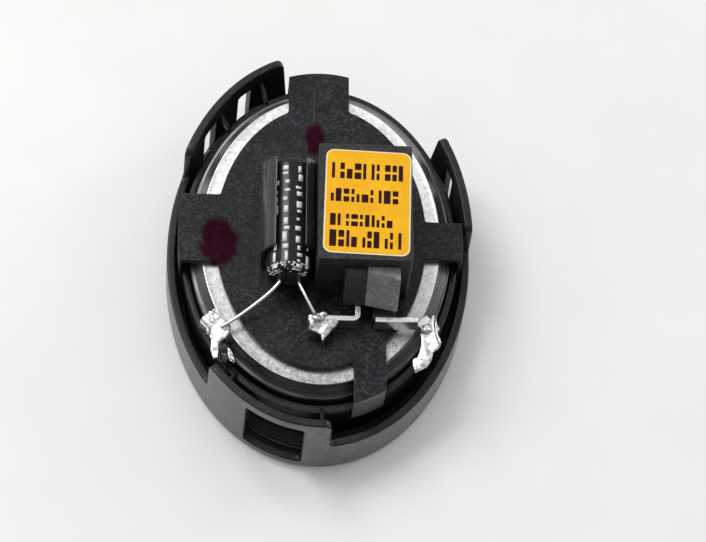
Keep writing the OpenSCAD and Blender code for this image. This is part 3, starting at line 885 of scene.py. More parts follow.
def build_cup():
    outer = [(19.0, 25.2, 8.0), (19.0, 25.2, 10.6)]
    # rolled shoulder: steep lower cone, then a rounded roll into the flat back
    key = [(19.0, 25.2, 10.7), (18.98, 25.18, 10.8), (18.93, 25.13, 10.86), (18.85, 25.05, 10.89), (18.66, 24.86, 10.92),
           (18.5, 24.7, 10.98), (18.34, 24.54, 11.1), (17.72, 23.92, 11.8), (17.58, 23.78, 11.98), (17.48, 23.68, 12.13),
           (17.4, 23.6, 12.25), (17.32, 23.52, 12.32), (17.22, 23.42, 12.335), (17.12, 23.32, 12.32), (16.98, 23.18, 12.3)]
    flat = [(16.4, 22.5, 12.3), (13.0, 18.0, 12.3), (8.0, 11.0, 12.3)]
    prof = outer + key + flat
    vs, fs, mi = lathe("cup", prof, None, 224, False, [1] * 13 + [0] * 20)
    # centre
    m_ = len(prof)
    c = len(vs)
    vs.append((0, 0, 12.3))
    for i in range(224):
        j = (i + 1) % 224
        fs.append((i * m_ + m_ - 1, j * m_ + m_ - 1, c)); mi.append(0)
    # inside
    inn = [(18.3, 24.5, 8.0), (18.3, 24.5, 10.3), (17.3, 23.5, 11.2), (16.6, 22.8, 11.5)]
    k = len(vs)
    n_ = len(inn)
    for i in range(224):
        t_ = 2 * pi * i / 224
        vs.extend((a * cos(t_), b * sin(t_), z) for a, b, z in inn)
    c2 = len(vs)
    vs.append((0, 0, 11.6))
    for i in range(224):
        j = (i + 1) % 224
        for q in range(n_ - 1):
            fs.append((k + i * n_ + q, k + i * n_ + q + 1, k + j * n_ + q + 1, k + j * n_ + q)); mi.append(1)
        fs.append((k + i * n_ + n_ - 1, c2, k + j * n_ + n_ - 1)); mi.append(1)
        fs.append((i * m_, k + i * n_, k + j * n_, j * m_)); mi.append(1)
    o = make("cup_stamping", vs, fs, [M["cup"], M["cup_wall"]], mi)
    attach(o, "housing"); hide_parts("rear_cup")


build_cup()

# ---------------------------------------------------------------- carrier


def build_carrier():
    pa, pb, oa, ob, ia, ib = 15.25, 21.5, 20.62, 27.42, 20.1, 26.7
    def px(x, a, b, up_): return (x, (1 if up_ else -1) * b * math.sqrt(max(0, 1 - (x / a) ** 2)))
    def py(y, a, b, rt): return ((1 if rt else -1) * a * math.sqrt(max(0, 1 - (y / b) ** 2)), y)
    # for each arm, anticlockwise: side 1 and side 2 as functions of the oval
    arms = [
        (lambda a, b: py(-3.7, a, b, True), lambda a, b: py(2.5, a, b, True)),
        (lambda a, b: px(4.0, a, b, True), lambda a, b: px(-5.0, a, b, True)),
        (lambda a, b: py(5.9, a, b, False), lambda a, b: py(-5.2, a, b, False)),
        (lambda a, b: px(4.7, a, b, False), lambda a, b: px(9.3, a, b, False)),
    ]
    def par(p, a, b): return math.atan2(p[1] / b, p[0] / a)
    def arc(p, q, a, b, n, ends=True):
        t0, t1 = par(p, a, b), par(q, a, b)
        while t1 < t0: t1 += 2 * pi
        ks = range(0, n + 1) if ends else range(1, n)
        return [(a * cos(t0 + (t1 - t0) * k / n), b * sin(t0 + (t1 - t0) * k / n)) for k in ks]
    NA = 16
    vs, fs = [], []
    def V(p, z):
        vs.append((p[0], p[1], z))
        return len(vs) - 1
    outline, under = [], []   # entries: (point, kind)
    legs = []
    rootfil = 0.4
    for k, (f1, f2) in enumerate(arms):
        r1, r2 = f1(pa, pb), f2(pa, pb)
        i1, i2 = f1(ia, ib), f2(ia, ib)
        o1, o2 = f1(oa, ob), f2(oa, ob)
        oarc = arc(o1, o2, oa, ob, NA)
        iarc = arc(i1, i2, ia, ib, NA)
        nx = arms[(k + 1) % 4][0](pa, pb)
        parc = arc(r2, nx, pa, pb, 34)
        # root fillets: pull the plate arc back and add a small curve
        def curve(pv, corner, nxt):
            c = Vector(corner)
            a_ = (Vector(pv) - c).normalized() * rootfil
            b_ = (Vector(nxt) - c).normalized() * rootfil
            return [tuple(c + a_ * (1 - t_) ** 2 + b_ * t_ ** 2) for t_ in (0, 0.25, 0.5, 0.75, 1)]
        prev_arc = arc(arms[k - 1][1](pa, pb), r1, pa, pb, 34)
        root1 = curve(prev_arc[-2], r1, i1)
        root2 = curve(i2, r2, parc[1])
        body = parc[1:-1]
        body = [p for p in body if (Vector(p) - Vector(r2)).length > rootfil + 0.2 and (Vector(p) - Vector(nx)).length > rootfil + 0.2]
        outline += root1 + [i1] + oarc + [i2] + root2 + body
        under += root1 + iarc + root2 + body
        legs.append((oarc, iarc))
    zt, zb, zl = 13.3, 12.3, 8.0
    top = [V(p, zt) for p in outline]
    fs.append(tuple(top))
    low = [V(p, zb) for p in outline]
    fs.append(tuple(reversed([V(p, zb) for p in under])))
    n = len(outline)
    oset = {}
    for oarc, _ in legs:
        for p in oarc: oset[p] = 1
    for i in range(n):
        j = (i + 1) % n
        p, q = outline[i], outline[j]
        if p in oset and q in oset:
            l0, l1 = V(p, zl), V(q, zl)
            fs.append((top[i], low[i], low[j], top[j]))
            fs.append((low[i], l0, l1, low[j]))
        else:
            fs.append((top[i], low[i], low[j], top[j]))
    for oarc, iarc in legs:
        m_ = len(iarc)
        for i in range(m_ - 1):
            a, b = V(iarc[i], zb), V(iarc[i + 1], zb)
            c, d = V(iarc[i + 1], zl), V(iarc[i], zl)
            fs.append((a, d, c, b))
        # sides of the leg and its foot
        for o_, i_, fl in ((oarc[0], iarc[0], False), (oarc[-1], iarc[-1], True)):
            q = [V(o_, zb), V(o_, zl), V(i_, zl), V(i_, zb)]
            fs.append(tuple(reversed(q)) if fl else tuple(q))
        fs.append(tuple([V(p, zl) for p in oarc] + [V(p, zl) for p in reversed(iarc)]))
    o = make("carrier_plate", vs, fs, M["carrier"])
    bevel(o, 0.2, 3, 40)
    # the turned-down ends of the arms that face south take the outer casing's paler finish: painted sheen from the
    # bright table, with some wear
    o.data.materials.append(M["casing_out"])
    for p_ in o.data.polygons:
        if abs(p_.normal.z) < 0.4 and p_.center.y < -0.0235 and p_.normal.y < -0.5:
            p_.material_index = 1
    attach(o, "housing"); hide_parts("rear_carrier")

    # capacitor cradle
    cx, cz, ro, ri = -4.65, 16.9, 4.15, 3.36
    pr = [(cx - ro, 13.2)]
    a1 = math.acos(-2.05 / ro)
    for k in range(9):
        t_ = pi + (a1 - pi) * k / 8
        pr.append((cx + ro * cos(t_), cz + ro * sin(t_)))
    a2 = math.acos(-2.05 / ri)
    a3 = math.acos(2.05 / ri)
    for k in range(29):
        t_ = a2 + (2 * pi + a3 - a2) * k / 28
        pr.append((cx + ri * cos(t_), cz + ri * sin(t_)))
    a4 = math.acos(2.05 / ro)
    a5 = math.acos((3.62) / ro)
    for k in range(5):
        t_ = a4 + (a5 - a4) * k / 4
        pr.append((cx + ro * cos(t_), cz + ro * sin(t_)))
    pr.append((-1.03, 13.2))
    o = prism("carrier_cradle", pr, -5.9, 8.6, M["cradle"], "y")
    # the west wall's lower corner is rounded at its open end
    bevel(o, 0.28, 3, 38)
    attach(o, "housing")


build_carrier()

# -------------------------------------------------------------- connector


def build_connector():
    x0, x1, y0, y1, z0, z1 = -1.0, 12.2, -10.0, 8.5, 13.28, 24.4
    pl = fillet([(x0, y0), (x1, y0), (x1, y1), (x0, y1)], 0.35, 3)
    o = prism("connector_box", pl, z0, z1, M["housing"])
    cut(o, block("t", 0.4, 10.8, -2.0, 12, 14.6, 23.1, M["housing"]))
    cut(o, block("t", 3.6, 7.6, 4.5, 7.5, 22.4, 26, M["housing"]))
    bevel(o, 0.22, 3, 40)
    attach(o, "housing"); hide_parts("connector_housing")
    # polarising ribs inside the socket
    for k, xx in enumerate((1.9, 9.0)):
        q = block("connector_key_%d" % (k + 1), xx, xx + 0.6, -1.9, 6.8, 14.5, 15.7, M["housing"])
        bevel(q, 0.15, 2)
        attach(q, "housing")

    def hexa(name, low, high, zl, zh, mat, bw=0.18):
        n = len(low)
        vs = [(p[0], p[1], zl) for p in low] + [(p[0], p[1], zh) for p in high]
        fs = [tuple(range(n)), tuple(range(2 * n - 1, n - 1, -1))] + [(i, (i + 1) % n, n + (i + 1) % n, n + i) for i in range(n)]
        q = make(name, vs, fs, mat)
        bevel(q, bw, 2, 30)
        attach(q, "housing")
        return q
    # sloped shroud over the pins: a narrow face and a wider, prouder one; the wider face is painted a paler grey as
    # painted light, while the narrow one keeps the housing plastic
    hexa("shroud_narrow", [(2.9, -9.9), (2.9, -13.0), (6.15, -13.0), (6.15, -9.9)],
         [(2.9, -9.9), (2.9, -10.8), (6.15, -10.8), (6.15, -9.9)], 16.2, 22.4, M["housing"])
    hexa("shroud_wide", [(6.0, -9.9), (6.0, -13.0), (10.6, -13.9), (10.6, -9.9)],
         [(6.0, -9.9), (6.0, -10.8), (10.6, -11.9), (10.6, -9.9)], 16.2, 22.4, M["shroud"])
    q = block("shroud_foot", 2.9, 10.6, -11.0, -9.9, 13.2, 16.3, M["housing"])
    bevel(q, 0.12, 2)
    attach(q, "housing")


# the shroud's wide face: the housing plastic made much paler grey, as painted light on a lit panel
M["shroud"] = plastic("shroud_satin_painted_light", (0.13, 0.13, 0.137), (0.25, 0.25, 0.262), 0.42, 0.58, scuffs=0.5, mottle=0.4).m
build_connector()

# ------------------------------------------------------------------- pins


def blade(name, path, half, z0, z1, node, bw=0.1):
    """Flat strip on edge along a plan path, with rounded bends."""
    pts = [Vector(p) for p in path]
    left, rightp = [], []
    for i, p in enumerate(pts):
        a = (p - pts[i - 1]).normalized() if i else (pts[1] - p).normalized()
        b = (pts[i + 1] - p).normalized() if i < len(pts) - 1 else a
        m_ = Vector((-(a.y + b.y), a.x + b.x)).normalized()
        c = m_.dot(Vector((-a.y, a.x)))
        left.append(p + m_ * half / max(c, 0.6)); rightp.append(p - m_ * half / max(c, 0.6))
    poly = [tuple(p) for p in rightp] + [tuple(p) for p in reversed(left)]
    o = prism(name, poly, z0, z1, M["tin"])
    bevel(o, bw, 2, 40)
    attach(o, "housing")
    if node:
        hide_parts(node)
    return o


def bend(c, r, a0, a1, n=6):
    return [(c[0] + r * cos(rad(a0 + (a1 - a0) * k / n)), c[1] + r * sin(rad(a0 + (a1 - a0) * k / n))) for k in range(n + 1)]


p1 = [(5.1, 4.5)] + bend((4.3, -14.1), 0.8, 0, -90) + [(1.0, -14.9), (-1.6, -14.85)]
blade("pin_first", p1, 0.4, 13.5, 16.1, "connector_pin_1")
p2 = [(7.64, 4.5)] + bend((8.44, -14.1), 0.8, 180, 270) + [(11.0, -14.9), (13.6, -14.8)]
blade("pin_second", [(7.55, -14.95), (8.4, -14.95)] + p2[-2:], 0.4, 13.5, 16.1, "connector_pin_2")
blade("pin_second_leg", [(8.0, -5.0), (8.0, -14.7)], 0.4, 13.5, 14.5, None)
blade("pin_second_tip", [(7.64, 4.5), (7.64, -5.4)], 0.4, 13.5, 16.1, None)
q = prism("pin_boss", [(7.25, -12.3), (7.25, -14.45), (10.4, -14.45), (10.4, -12.3)], 12.9, 15.0, M["housing"])
bevel(q, 0.12, 2, 40)
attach(q, "housing")

# ------------------------------------------------------------- capacitor


def turned(name, prof, mat, n=72, cx=-4.65, cz=16.9, caps=True):
    """Body of revolution about the capacitor's axis: prof is (radius, y)."""
    vs, fs = [], []
    m_ = len(prof)
    for i in range(n):
        t_ = 2 * pi * i / n
        vs.extend((cx + r_ * cos(t_), y, cz + r_ * sin(t_)) for r_, y in prof)
    for i in range(n):
        j = (i + 1) % n
        for k in range(m_ - 1):
            fs.append((i * m_ + k, i * m_ + k + 1, j * m_ + k + 1, j * m_ + k))
    return make(name, vs, fs, mat)


def build_cap():
    R = 3.3
    y0, y1 = -9.3, 8.7
    pr = [(1.75, y0 + 0.34), (1.75, y0 - 0.02), (1.82, y0 - 0.06), (2.15, y0 - 0.05), (2.5, y0 - 0.04), (2.8, y0 - 0.01), (3.02, y0 + 0.09), (3.17, y0 + 0.28), (3.26, y0 + 0.6), (3.3, y0 + 1.1)]
    pr += [(3.3, y0 + 1.1 + (y1 - y0 - 2.3) * k / 10) for k in range(1, 11)]
    pr += [(3.28, y1 - 0.7), (3.2, y1 - 0.35), (3.05, y1 - 0.12), (2.85, y1), (2.6, y1 - 0.03), (2.45, y1 - 0.14), (2.4, y1 - 0.25)]
    o = turned("cap_sleeve", pr, M["sleeve"])
    # shrink film is not quite round
    for v_ in o.data.vertices:
        x, y, z = v_.co.x / MM + 4.65, v_.co.y / MM, v_.co.z / MM - 16.9
        a = math.atan2(z, x)
        k = 1 + 0.006 * noise.noise(Vector((a * 1.3, y * 0.55, 2.0))) - 0.004
        v_.co.x = (x * k - 4.65) * MM
        v_.co.z = (z * k + 16.9) * MM
    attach(o, "housing"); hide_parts("capacitor_sleeve")
    o = turned("cap_can", [(0.0, y0 + 0.3), (2.3, y0 + 0.3), (2.62, y0 + 0.16), (2.75, y0 + 0.35), (2.75, y1 - 0.4), (2.2, y1 - 0.32), (1.0, y1 - 0.26), (0.0, y1 - 0.25)], M["can"])
    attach(o, "housing"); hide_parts("capacitor_can")
    o = turned("cap_bung", [(0.0, y0 + 0.05), (1.3, y0 + 0.02), (2.1, y0 + 0.06), (2.35, y0 + 0.2), (2.4, y0 + 0.5), (2.4, y0 + 2.0), (0, y0 + 2.0)], M["bung"])
    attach(o, "housing"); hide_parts("capacitor_bung")
    # printed dashes on the sleeve: plain bars, no lettering
    rnd = random.Random(7)
    vs, fs = [], []

    def patch(a0, a1, ya, yb, h=0.03, Ra=None, Rb=None, twist=0.0):
        k = len(vs)
        na = max(2, int(abs(a1 - a0) / rad(6)))
        for q in range(na + 1):
            t_ = a0 + (a1 - a0) * q / na
            for d_ in (h - 0.05, h):
                ra, rb = (Ra or R) + d_, (Rb or R) + d_
                vs.append((-4.65 + ra * cos(t_ + twist), ya, 16.9 + ra * sin(t_ + twist)))
                vs.append((-4.65 + rb * cos(t_), yb, 16.9 + rb * sin(t_)))
        for q in range(na):
            b_ = k + q * 4
            fs.append((b_ + 2, b_ + 3, b_ + 7, b_ + 6))
            fs.append((b_, b_ + 4, b_ + 5, b_ + 1))
            fs.append((b_, b_ + 2, b_ + 6, b_ + 4))
            fs.append((b_ + 1, b_ + 5, b_ + 7, b_ + 3))
        fs.append((k, k + 1, k + 3, k + 2))
        e_ = k + na * 4
        fs.append((e_, e_ + 2, e_ + 3, e_ + 1))
    for ac, wd in ((rad(133), rad(15)), (rad(103), rad(14)), (rad(69), rad(15)), (rad(40), rad(12))):
        y = y1 - 1.6
        while y > -8.75:
            ln = rnd.choice((0.42, 0.55, 0.7, 1.05, 1.5))
            w_ = wd * rnd.choice((0.55, 0.8, 1.0))
            sh = rnd.choice((-0.18, 0, 0.18)) * wd
            patch(ac + sh - w_ / 2, ac + sh + w_ / 2, y - ln, y)
            y -= ln + rnd.choice((0.32, 0.45, 0.9))
    # the same marks crumpled by the shrunk end
    a_ = 28.0
    while a_ < 165:
        w_ = rnd.choice((3.0, 4.5, 6.5, 9.0))
        tw = rad(rnd.uniform(-5, 5))
        if rnd.random() < 0.8:
            patch(rad(a_), rad(a_ + w_), -8.66, -8.42, 0.03, 3.26, 3.29, tw)
        if rnd.random() < 0.7:
            patch(rad(a_ + 1), rad(a_ + w_), -9.0, -8.7, 0.03, 3.175, 3.255, -tw)
        if rnd.random() < 0.35:
            patch(rad(a_), rad(a_ + w_ * 0.7), -9.2, -9.03, 0.03, 3.03, 3.165, tw)
        a_ += w_ + rnd.choice((2.0, 3.5, 6.0))
    # and turned in over its face
    a_ = 22.0
    while a_ < 160:
        w_ = rnd.choice((4.0, 6.0, 9.0))
        for r0_, r1_, q_ in ((2.62, 2.98, 0.75), (2.22, 2.52, 0.5), (1.9, 2.12, 0.3)):
            if rnd.random() < q_:
                t0, t1 = rad(a_ + rnd.uniform(-3, 3)), rad(a_ + w_ + rnd.uniform(-3, 3))
                k = len(vs)
                for y_ in (y0 - 0.085, y0 + 0.02):
                    vs.extend((-4.65 + r_ * cos(t_), y_, 16.9 + r_ * sin(t_)) for r_, t_ in ((r0_, t0), (r1_, t0), (r1_, t1), (r0_, t1)))
                fs.extend([(k, k + 1, k + 2, k + 3), (k + 7, k + 6, k + 5, k + 4)])
                fs.extend((k + i, k + 4 + i, k + 4 + (i + 1) % 4, k + (i + 1) % 4) for i in range(4))
        a_ += w_ + rnd.choice((2.0, 4.0, 6.0))
    o = make("cap_marks", vs, fs, M["cap_print"])
    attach(o, "housing")


build_cap()

# ---------------------------------------------------------------- wires


def catmull(p, n=8):
    p = [Vector(q) for q in p]
    out = []
    for i in range(len(p) - 1):
        a, b, c, d = p[max(i - 1, 0)], p[i], p[i + 1], p[min(i + 2, len(p) - 1)]
        for k in range(n):
            t_ = k / n
            out.append(0.5 * (2 * b + (c - a) * t_ + (2 * a - 5 * b + 4 * c - d) * t_ ** 2 + (3 * b - a - 3 * c + d) * t_ ** 3))
    out.append(p[-1])
    return out


def wire(name, pts, dia, mat, body, node, m_=16, n=10, wob=0.0):
    p = catmull(pts, n)
    vs, fs = [], []
    N = len(p)
    u = None
    for i, q in enumerate(p):
        t_ = (p[min(i + 1, N - 1)] - p[max(i - 1, 0)]).normalized()
        if u is None:
            u = t_.cross(Vector((0.3, 0.2, 1))).normalized()
        u = (u - t_ * u.dot(t_)).normalized()
        v_ = t_.cross(u)
        r_ = dia / 2 * (1 + wob * noise.noise(Vector((i * 0.31, 5.0, 1.0))))
        vs.extend(tuple(q + r_ * (cos(2 * pi * k / m_) * u + sin(2 * pi * k / m_) * v_)) for k in range(m_))
    for i in range(N - 1):
        for k in range(m_):
            l = (k + 1) % m_
            fs.append((i * m_ + k, (i + 1) * m_ + k, (i + 1) * m_ + l, i * m_ + l))
    fs.append(tuple(range(m_)))
    fs.append(tuple((N - 1) * m_ + k for k in range(m_ - 1, -1, -1)))
    o = make(name, vs, fs, mat)
    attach(o, body)
    if node:
        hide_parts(node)
    return o


wire("lead_outer", [(-6.0, -7.1, 16.9), (-6.0, -9.4, 16.9), (-6.15, -10.2, 16.85), (-7.7, -11.7, 16.1), (-10.5, -13.7, 14.9), (-12.4, -14.9, 14.2), (-14.0, -15.7, 13.6)],
     0.55, M["tin"], "housing", "capacitor_lead_a")
wire("lead_inner", [(-3.3, -7.1, 16.9), (-3.3, -9.4, 16.9), (-3.1, -10.4, 16.95), (-2.2, -12.3, 16.95), (-1.0, -14.6, 16.6)],
     0.55, M["tin"], "housing", "capacitor_lead_b")

# ---------------------------------------------------------- solder, glue


def blob(name, balls, mat, node, voxel=0.11, amp=0.06, freq=1.4, seed=0.0, smooth=2, slabs=()):
    """Union of stretched balls and thick outlines, remeshed and roughened.
    balls: (centre, radii, turn about z, tilt about x). slabs: (outline, z, thickness, slope x, slope y)."""
    vs, fs = [], []
    for c, r_, tz, tx in balls:
        b = bmesh.new()
        bmesh.ops.create_icosphere(b, subdivisions=3, radius=1)
        mt = Matrix.Translation(Vector(c)) @ Matrix.Rotation(rad(tz), 4, "Z") @ Matrix.Rotation(rad(tx), 4, "X") @ Matrix.Diagonal(Vector((*r_, 1)))
        k = len(vs)
        vs.extend(tuple(mt @ v_.co) for v_ in b.verts)
        fs.extend(tuple(k + v_.index for v_ in f_.verts) for f_ in b.faces)
        b.free()
    for poly, zc, th, gx, gy in slabs:
        x0 = sum(p[0] for p in poly) / len(poly)
        y0 = sum(p[1] for p in poly) / len(poly)
        area_ = sum(poly[i - 1][0] * poly[i][1] - poly[i][0] * poly[i - 1][1] for i in range(len(poly)))
        if area_ < 0:
            poly = poly[::-1]
        k, n = len(vs), len(poly)
        for d in (-th / 2, th / 2):
            vs.extend((x, y, zc + d + gx * (x - x0) + gy * (y - y0)) for x, y in poly)
        fs.append(tuple(range(k + n - 1, k - 1, -1)))
        fs.append(tuple(range(k + n, k + 2 * n)))
        fs += [(k + i, k + (i + 1) % n, k + n + (i + 1) % n, k + n + i) for i in range(n)]
    me = bpy.data.meshes.new(name)
    me.from_pydata([(p[0] * MM, p[1] * MM, p[2] * MM) for p in vs], [], fs)
    me.materials.append(mat)
    o = bpy.data.objects.new(name, me)
    scene.collection.objects.link(o)
    rm = o.modifiers.new("remesh", "REMESH")
    rm.mode = "VOXEL"
    rm.voxel_size = voxel * MM
    rm.use_smooth_shade = True
    sm = o.modifiers.new("smooth", "SMOOTH")
    sm.factor = 0.5
    sm.iterations = smooth
    bake(o)
    me = o.data
    nr = [v_.normal.copy() for v_ in me.vertices]
    for v_, q in zip(me.vertices, nr):
        p = v_.co / MM
        d = noise.fractal(p * freq + Vector((seed, 0, 0)), 0.9, 2.0, 2) * amp
        v_.co += q * d * MM
    for p in me.polygons:
        p.use_smooth = True
    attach(o, "housing")
    if node:
        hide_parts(node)
    return o


# left joint: a flat flag of solder over the cup's shoulder
LEFT = [(-15.88, -13.15), (-15.05, -12.97), (-13.88, -14.34), (-12.88, -14.77), (-12.58, -15.39), (-12.83, -16.49),
        (-13.37, -17.29), (-14.19, -17.94), (-14.16, -19.03), (-14.26, -20.27), (-14.96, -20.29), (-15.34, -19.07),
        (-15.32, -17.67), (-15.64, -16.44), (-15.98, -15.98), (-15.84, -15.35), (-15.25, -15.49), (-15.28, -14.39)]
blob("joint_left", [((-13.3, -15.5, 13.3), (0.75, 0.75, 0.4), 30, 0), ((-15.75, -16.1, 13.2), (0.26, 0.75, 0.45), 6, 0),
                    ((-15.0, -14.6, 13.0), (0.7, 1.0, 0.35), 25, 0), ((-14.65, -18.9, 12.7), (0.40, 1.0, 0.40), 0, 0)],
     M["solder"], "solder_left", seed=3.1, amp=0.14, freq=0.7, voxel=0.1, smooth=6,
     slabs=[(LEFT, 12.95, 0.6, 0.10, 0.05)])
# centre joint: wraps the first pin's end, drawn out to a point
MID = [(-1.89, -14.56), (-0.77, -14.36), (-0.21, -14.03), (0.5, -14.08), (0.78, -14.54), (1.2, -14.6), (2.5, -15.15),
       (2.19, -15.82), (1.63, -16.46), (0.79, -17.27), (0.38, -18.3), (0.1, -18.24), (-0.04, -17.3), (-1.03, -16.87), (-1.73, -16.58), (-1.88, -15.5)]
blob("joint_centre", [((-0.4, -14.9, 16.15), (1.0, 0.7, 0.4), 0, 0), ((0.3, -14.5, 16.35), (0.5, 0.4, 0.35), 0, 0),
                      ((-1.3, -15.6, 15.5), (0.6, 0.9, 0.6), 0, 0), ((0.3, -16.6, 15.2), (0.6, 0.8, 0.5), -20, 0),
                      ((0.25, -17.7, 15.3), (0.24, 0.6, 0.24), 0, 0)],
     M["solder"], "solder_centre", seed=8.4, amp=0.14, freq=0.8, voxel=0.1, smooth=5,
     slabs=[(MID, 15.35, 0.9, 0.0, 0.22)])
# right joint: a tall flag with a sharp outer fin
RIGHT = [(14.65, -14.86), (15.52, -13.96), (15.74, -13.08), (16.11, -12.83), (16.38, -13.21), (16.29, -14.48), (16.41, -15.89),
         (16.87, -17.36), (16.5, -18.23), (16.0, -18.56), (15.56, -19.82), (14.98, -20.77), (13.84, -21.43), (13.28, -21.6),
         (12.87, -20.07), (13.16, -19.6), (13.73, -19.42), (14.03, -18.01), (14.19, -16.75), (14.06, -15.82)]
FIN = [(16.25, -13.1), (16.45, -13.1), (16.4, -14.5), (16.55, -15.9), (17.0, -17.4), (16.75, -17.5), (16.2, -16.0), (16.1, -14.5)]
blob("joint_right", [((16.65, -17.6, 13.75), (0.3, 0.55, 0.35), -25, 0), ((14.9, -15.2, 13.9), (0.8, 0.7, 0.5), 20, 0),
                     ((14.3, -20.3, 13.4), (0.7, 0.75, 0.35), -30, 0)],
     M["solder"], "solder_right", seed=5.7, amp=0.16, freq=0.55, voxel=0.1, smooth=7,
     slabs=[(RIGHT, 13.4, 0.75, 0.10, 0.02), (FIN, 13.9, 0.7, 0.0, 0.0)])
DROP = [(-14.06, -16.95), (-13.21, -16.92), (-12.92, -17.54), (-13.1, -18.64), (-12.7, -19.7), (-13.3, -20.4), (-14.12, -19.9), (-14.16, -18.36)]
blob("glue_drop", [((-13.5, -17.9, 12.0), (0.5, 0.9, 0.45), 10, 0), ((-13.5, -19.6, 11.3), (0.55, 0.9, 0.6), 20, 0)],
     M["glue"], "glue_bead", seed=1.2, amp=0.10, slabs=[(DROP, 11.5, 0.8, 0.1, 0.15)])
CHIP = [(-13.05, -17.84), (-12.48, -18.45), (-11.88, -19.67), (-12.0, -20.45), (-12.57, -20.16), (-12.87, -19.24)]
blob("joint_splash", [((-12.25, -19.7, 12.0), (0.3, 0.6, 0.25), 30, 0)],
     M["solder"], None, seed=2.2, amp=0.05, voxel=0.06, slabs=[(CHIP, 11.8, 0.3, 0.0, 0.0)])

# -------------------------------------------------------------- lugs


def lug(name, s, node):
    a = rad(-s * 43)
    # strip in its own plane: x across the rim, z up; it turns in over the cup
    r_ = 0.5
    inner = -s
    path = [(0, 6.6), (0, 12.3)]
    path += [(inner * 0.45 * (1 - cos(rad(k * 15))), 12.5 + 0.45 * sin(rad(k * 15))) for k in range(1, 7)]
    path += [(inner * 1.4, 12.95), (inner * 2.4, 12.92)]
    left, rg = [], []
    P = [Vector(p) for p in path]
    for i, p in enumerate(P):
        t_ = (P[min(i + 1, len(P) - 1)] - P[max(i - 1, 0)]).normalized()
        q = Vector((-t_.y, t_.x)) * 0.27
        left.append(p + q); rg.append(p - q)
    poly = left + rg[::-1]
    n = len(poly)
    vs = [(p.x, -1.0, p.y) for p in poly] + [(p.x, 1.0, p.y) for p in poly]
    fs = [tuple(range(n)), tuple(range(2 * n - 1, n - 1, -1))] + [(i, (i + 1) % n, n + (i + 1) % n, n + i) for i in range(n)]
    vs = [(x * cos(a) - y * sin(a) + s * 16.1, x * sin(a) + y * cos(a) - 15.0, z) for x, y, z in vs]
    o = make(name, vs, fs, M["tin"])
    bevel(o, 0.1, 2, 40)
    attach(o, "housing"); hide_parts(node)


lug("lug_left", -1, "terminal_left")
lug("lug_right", 1, "terminal_right")
for nm, s in (("left", -1), ("right", 1)):
    a = rad(180 + 43) if s < 0 else rad(-43)
    pt = [(r_ * cos(a), r_ * sin(a), z) for r_, z in ((21.6, 6.9), (17.0, 6.9), (14.6, 6.95), (12.8, 6.9), (10.9, 6.8))]
    wire("braid_" + nm, pt, 0.4, M["copper"], "housing", "tinsel_lead_" + nm, 10, 6)

# ------------------------------------------------------------------ label


def build_label():
    cx, cy, w_, h_, zt = 5.85, -0.9, 12.1, 16.6, 24.4
    ang = rad(-1.5)

    def place(u, v_, z):
        return (cx + u * cos(ang) - v_ * sin(ang), cy + u * sin(ang) + v_ * cos(ang), z)

    def slab(name, polys, z0, z1, mat, bw, node=None):
        vs, fs = [], []
        for poly in polys:
            k, n = len(vs), len(poly)
            vs.extend(place(p[0], p[1], z0) for p in poly)
            vs.extend(place(p[0], p[1], z1) for p in poly)
            fs.append(tuple(range(k + n - 1, k - 1, -1)))
            fs.append(tuple(range(k + n, k + 2 * n)))
            fs += [(k + i, k + (i + 1) % n, k + n + (i + 1) % n, k + n + i) for i in range(n)]
        o = make(name, vs, fs, mat)
        if bw:
            bevel(o, bw, 2, 40)
        for p_ in o.data.polygons:
            p_.use_smooth = False
        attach(o, "housing")
        if node:
            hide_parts(node)
        return o

    def rrect(a, b, c, d, r_, n=6):
        return fillet([(a, c), (b, c), (b, d), (a, d)], r_, n)
    a, b = w_ / 2, h_ / 2
    slab("label_base", [rrect(-a, a, -b, b, 1.2)], zt, zt + 0.075, M["cream"], 0.03, "label")
    slab("label_face", [rrect(-a + 0.2, a - 0.2, -b + 0.2, b - 0.2, 1.05)], zt + 0.05, zt + 0.1, M["label"], 0)
    # printed rows: plain bars of uneven width, not letters
    rnd = random.Random(21)
    rows = [(3.35, 6.35, 2.55, -5.15, 5.3, 0.62), (-0.35, 2.15, 2.1, -5.2, 4.4, 0.62), (-4.2, -1.9, 1.9, -5.2, 3.9, 0.5), (-7.6, -4.4, 2.6, -5.2, 5.3, 0.62)]
    bars = []
    for y_a, y_b, hh, xa, xb, unit in rows:
        yc = (y_a + y_b) / 2
        x = xa
        while x < xb - 0.5:
            wd = rnd.choice((0.42, 0.42, 0.62, 0.8, 0.95))
            wd = min(wd, xb - x)
            kind = rnd.random()
            y0_, y1_ = yc - hh / 2, yc + hh / 2
            if kind < 0.45:
                bars.append(rrect(x, x + wd, y0_, y1_, 0.1, 2))
            elif kind < 0.75:
                bars.append(rrect(x, x + wd, y0_, yc - 0.2, 0.1, 2))
                bars.append(rrect(x, x + wd, yc + 0.2, y1_, 0.1, 2))
            else:
                bars.append(rrect(x, x + wd, y0_, y0_ + hh * 0.62, 0.1, 2))
            x += wd + rnd.choice((0.26, 0.3, 0.3, 0.75))
    slab("label_marks", bars, zt + 0.08, zt + 0.118, M["print"], 0)


build_label()

# ------------------------------------------------------------ front side


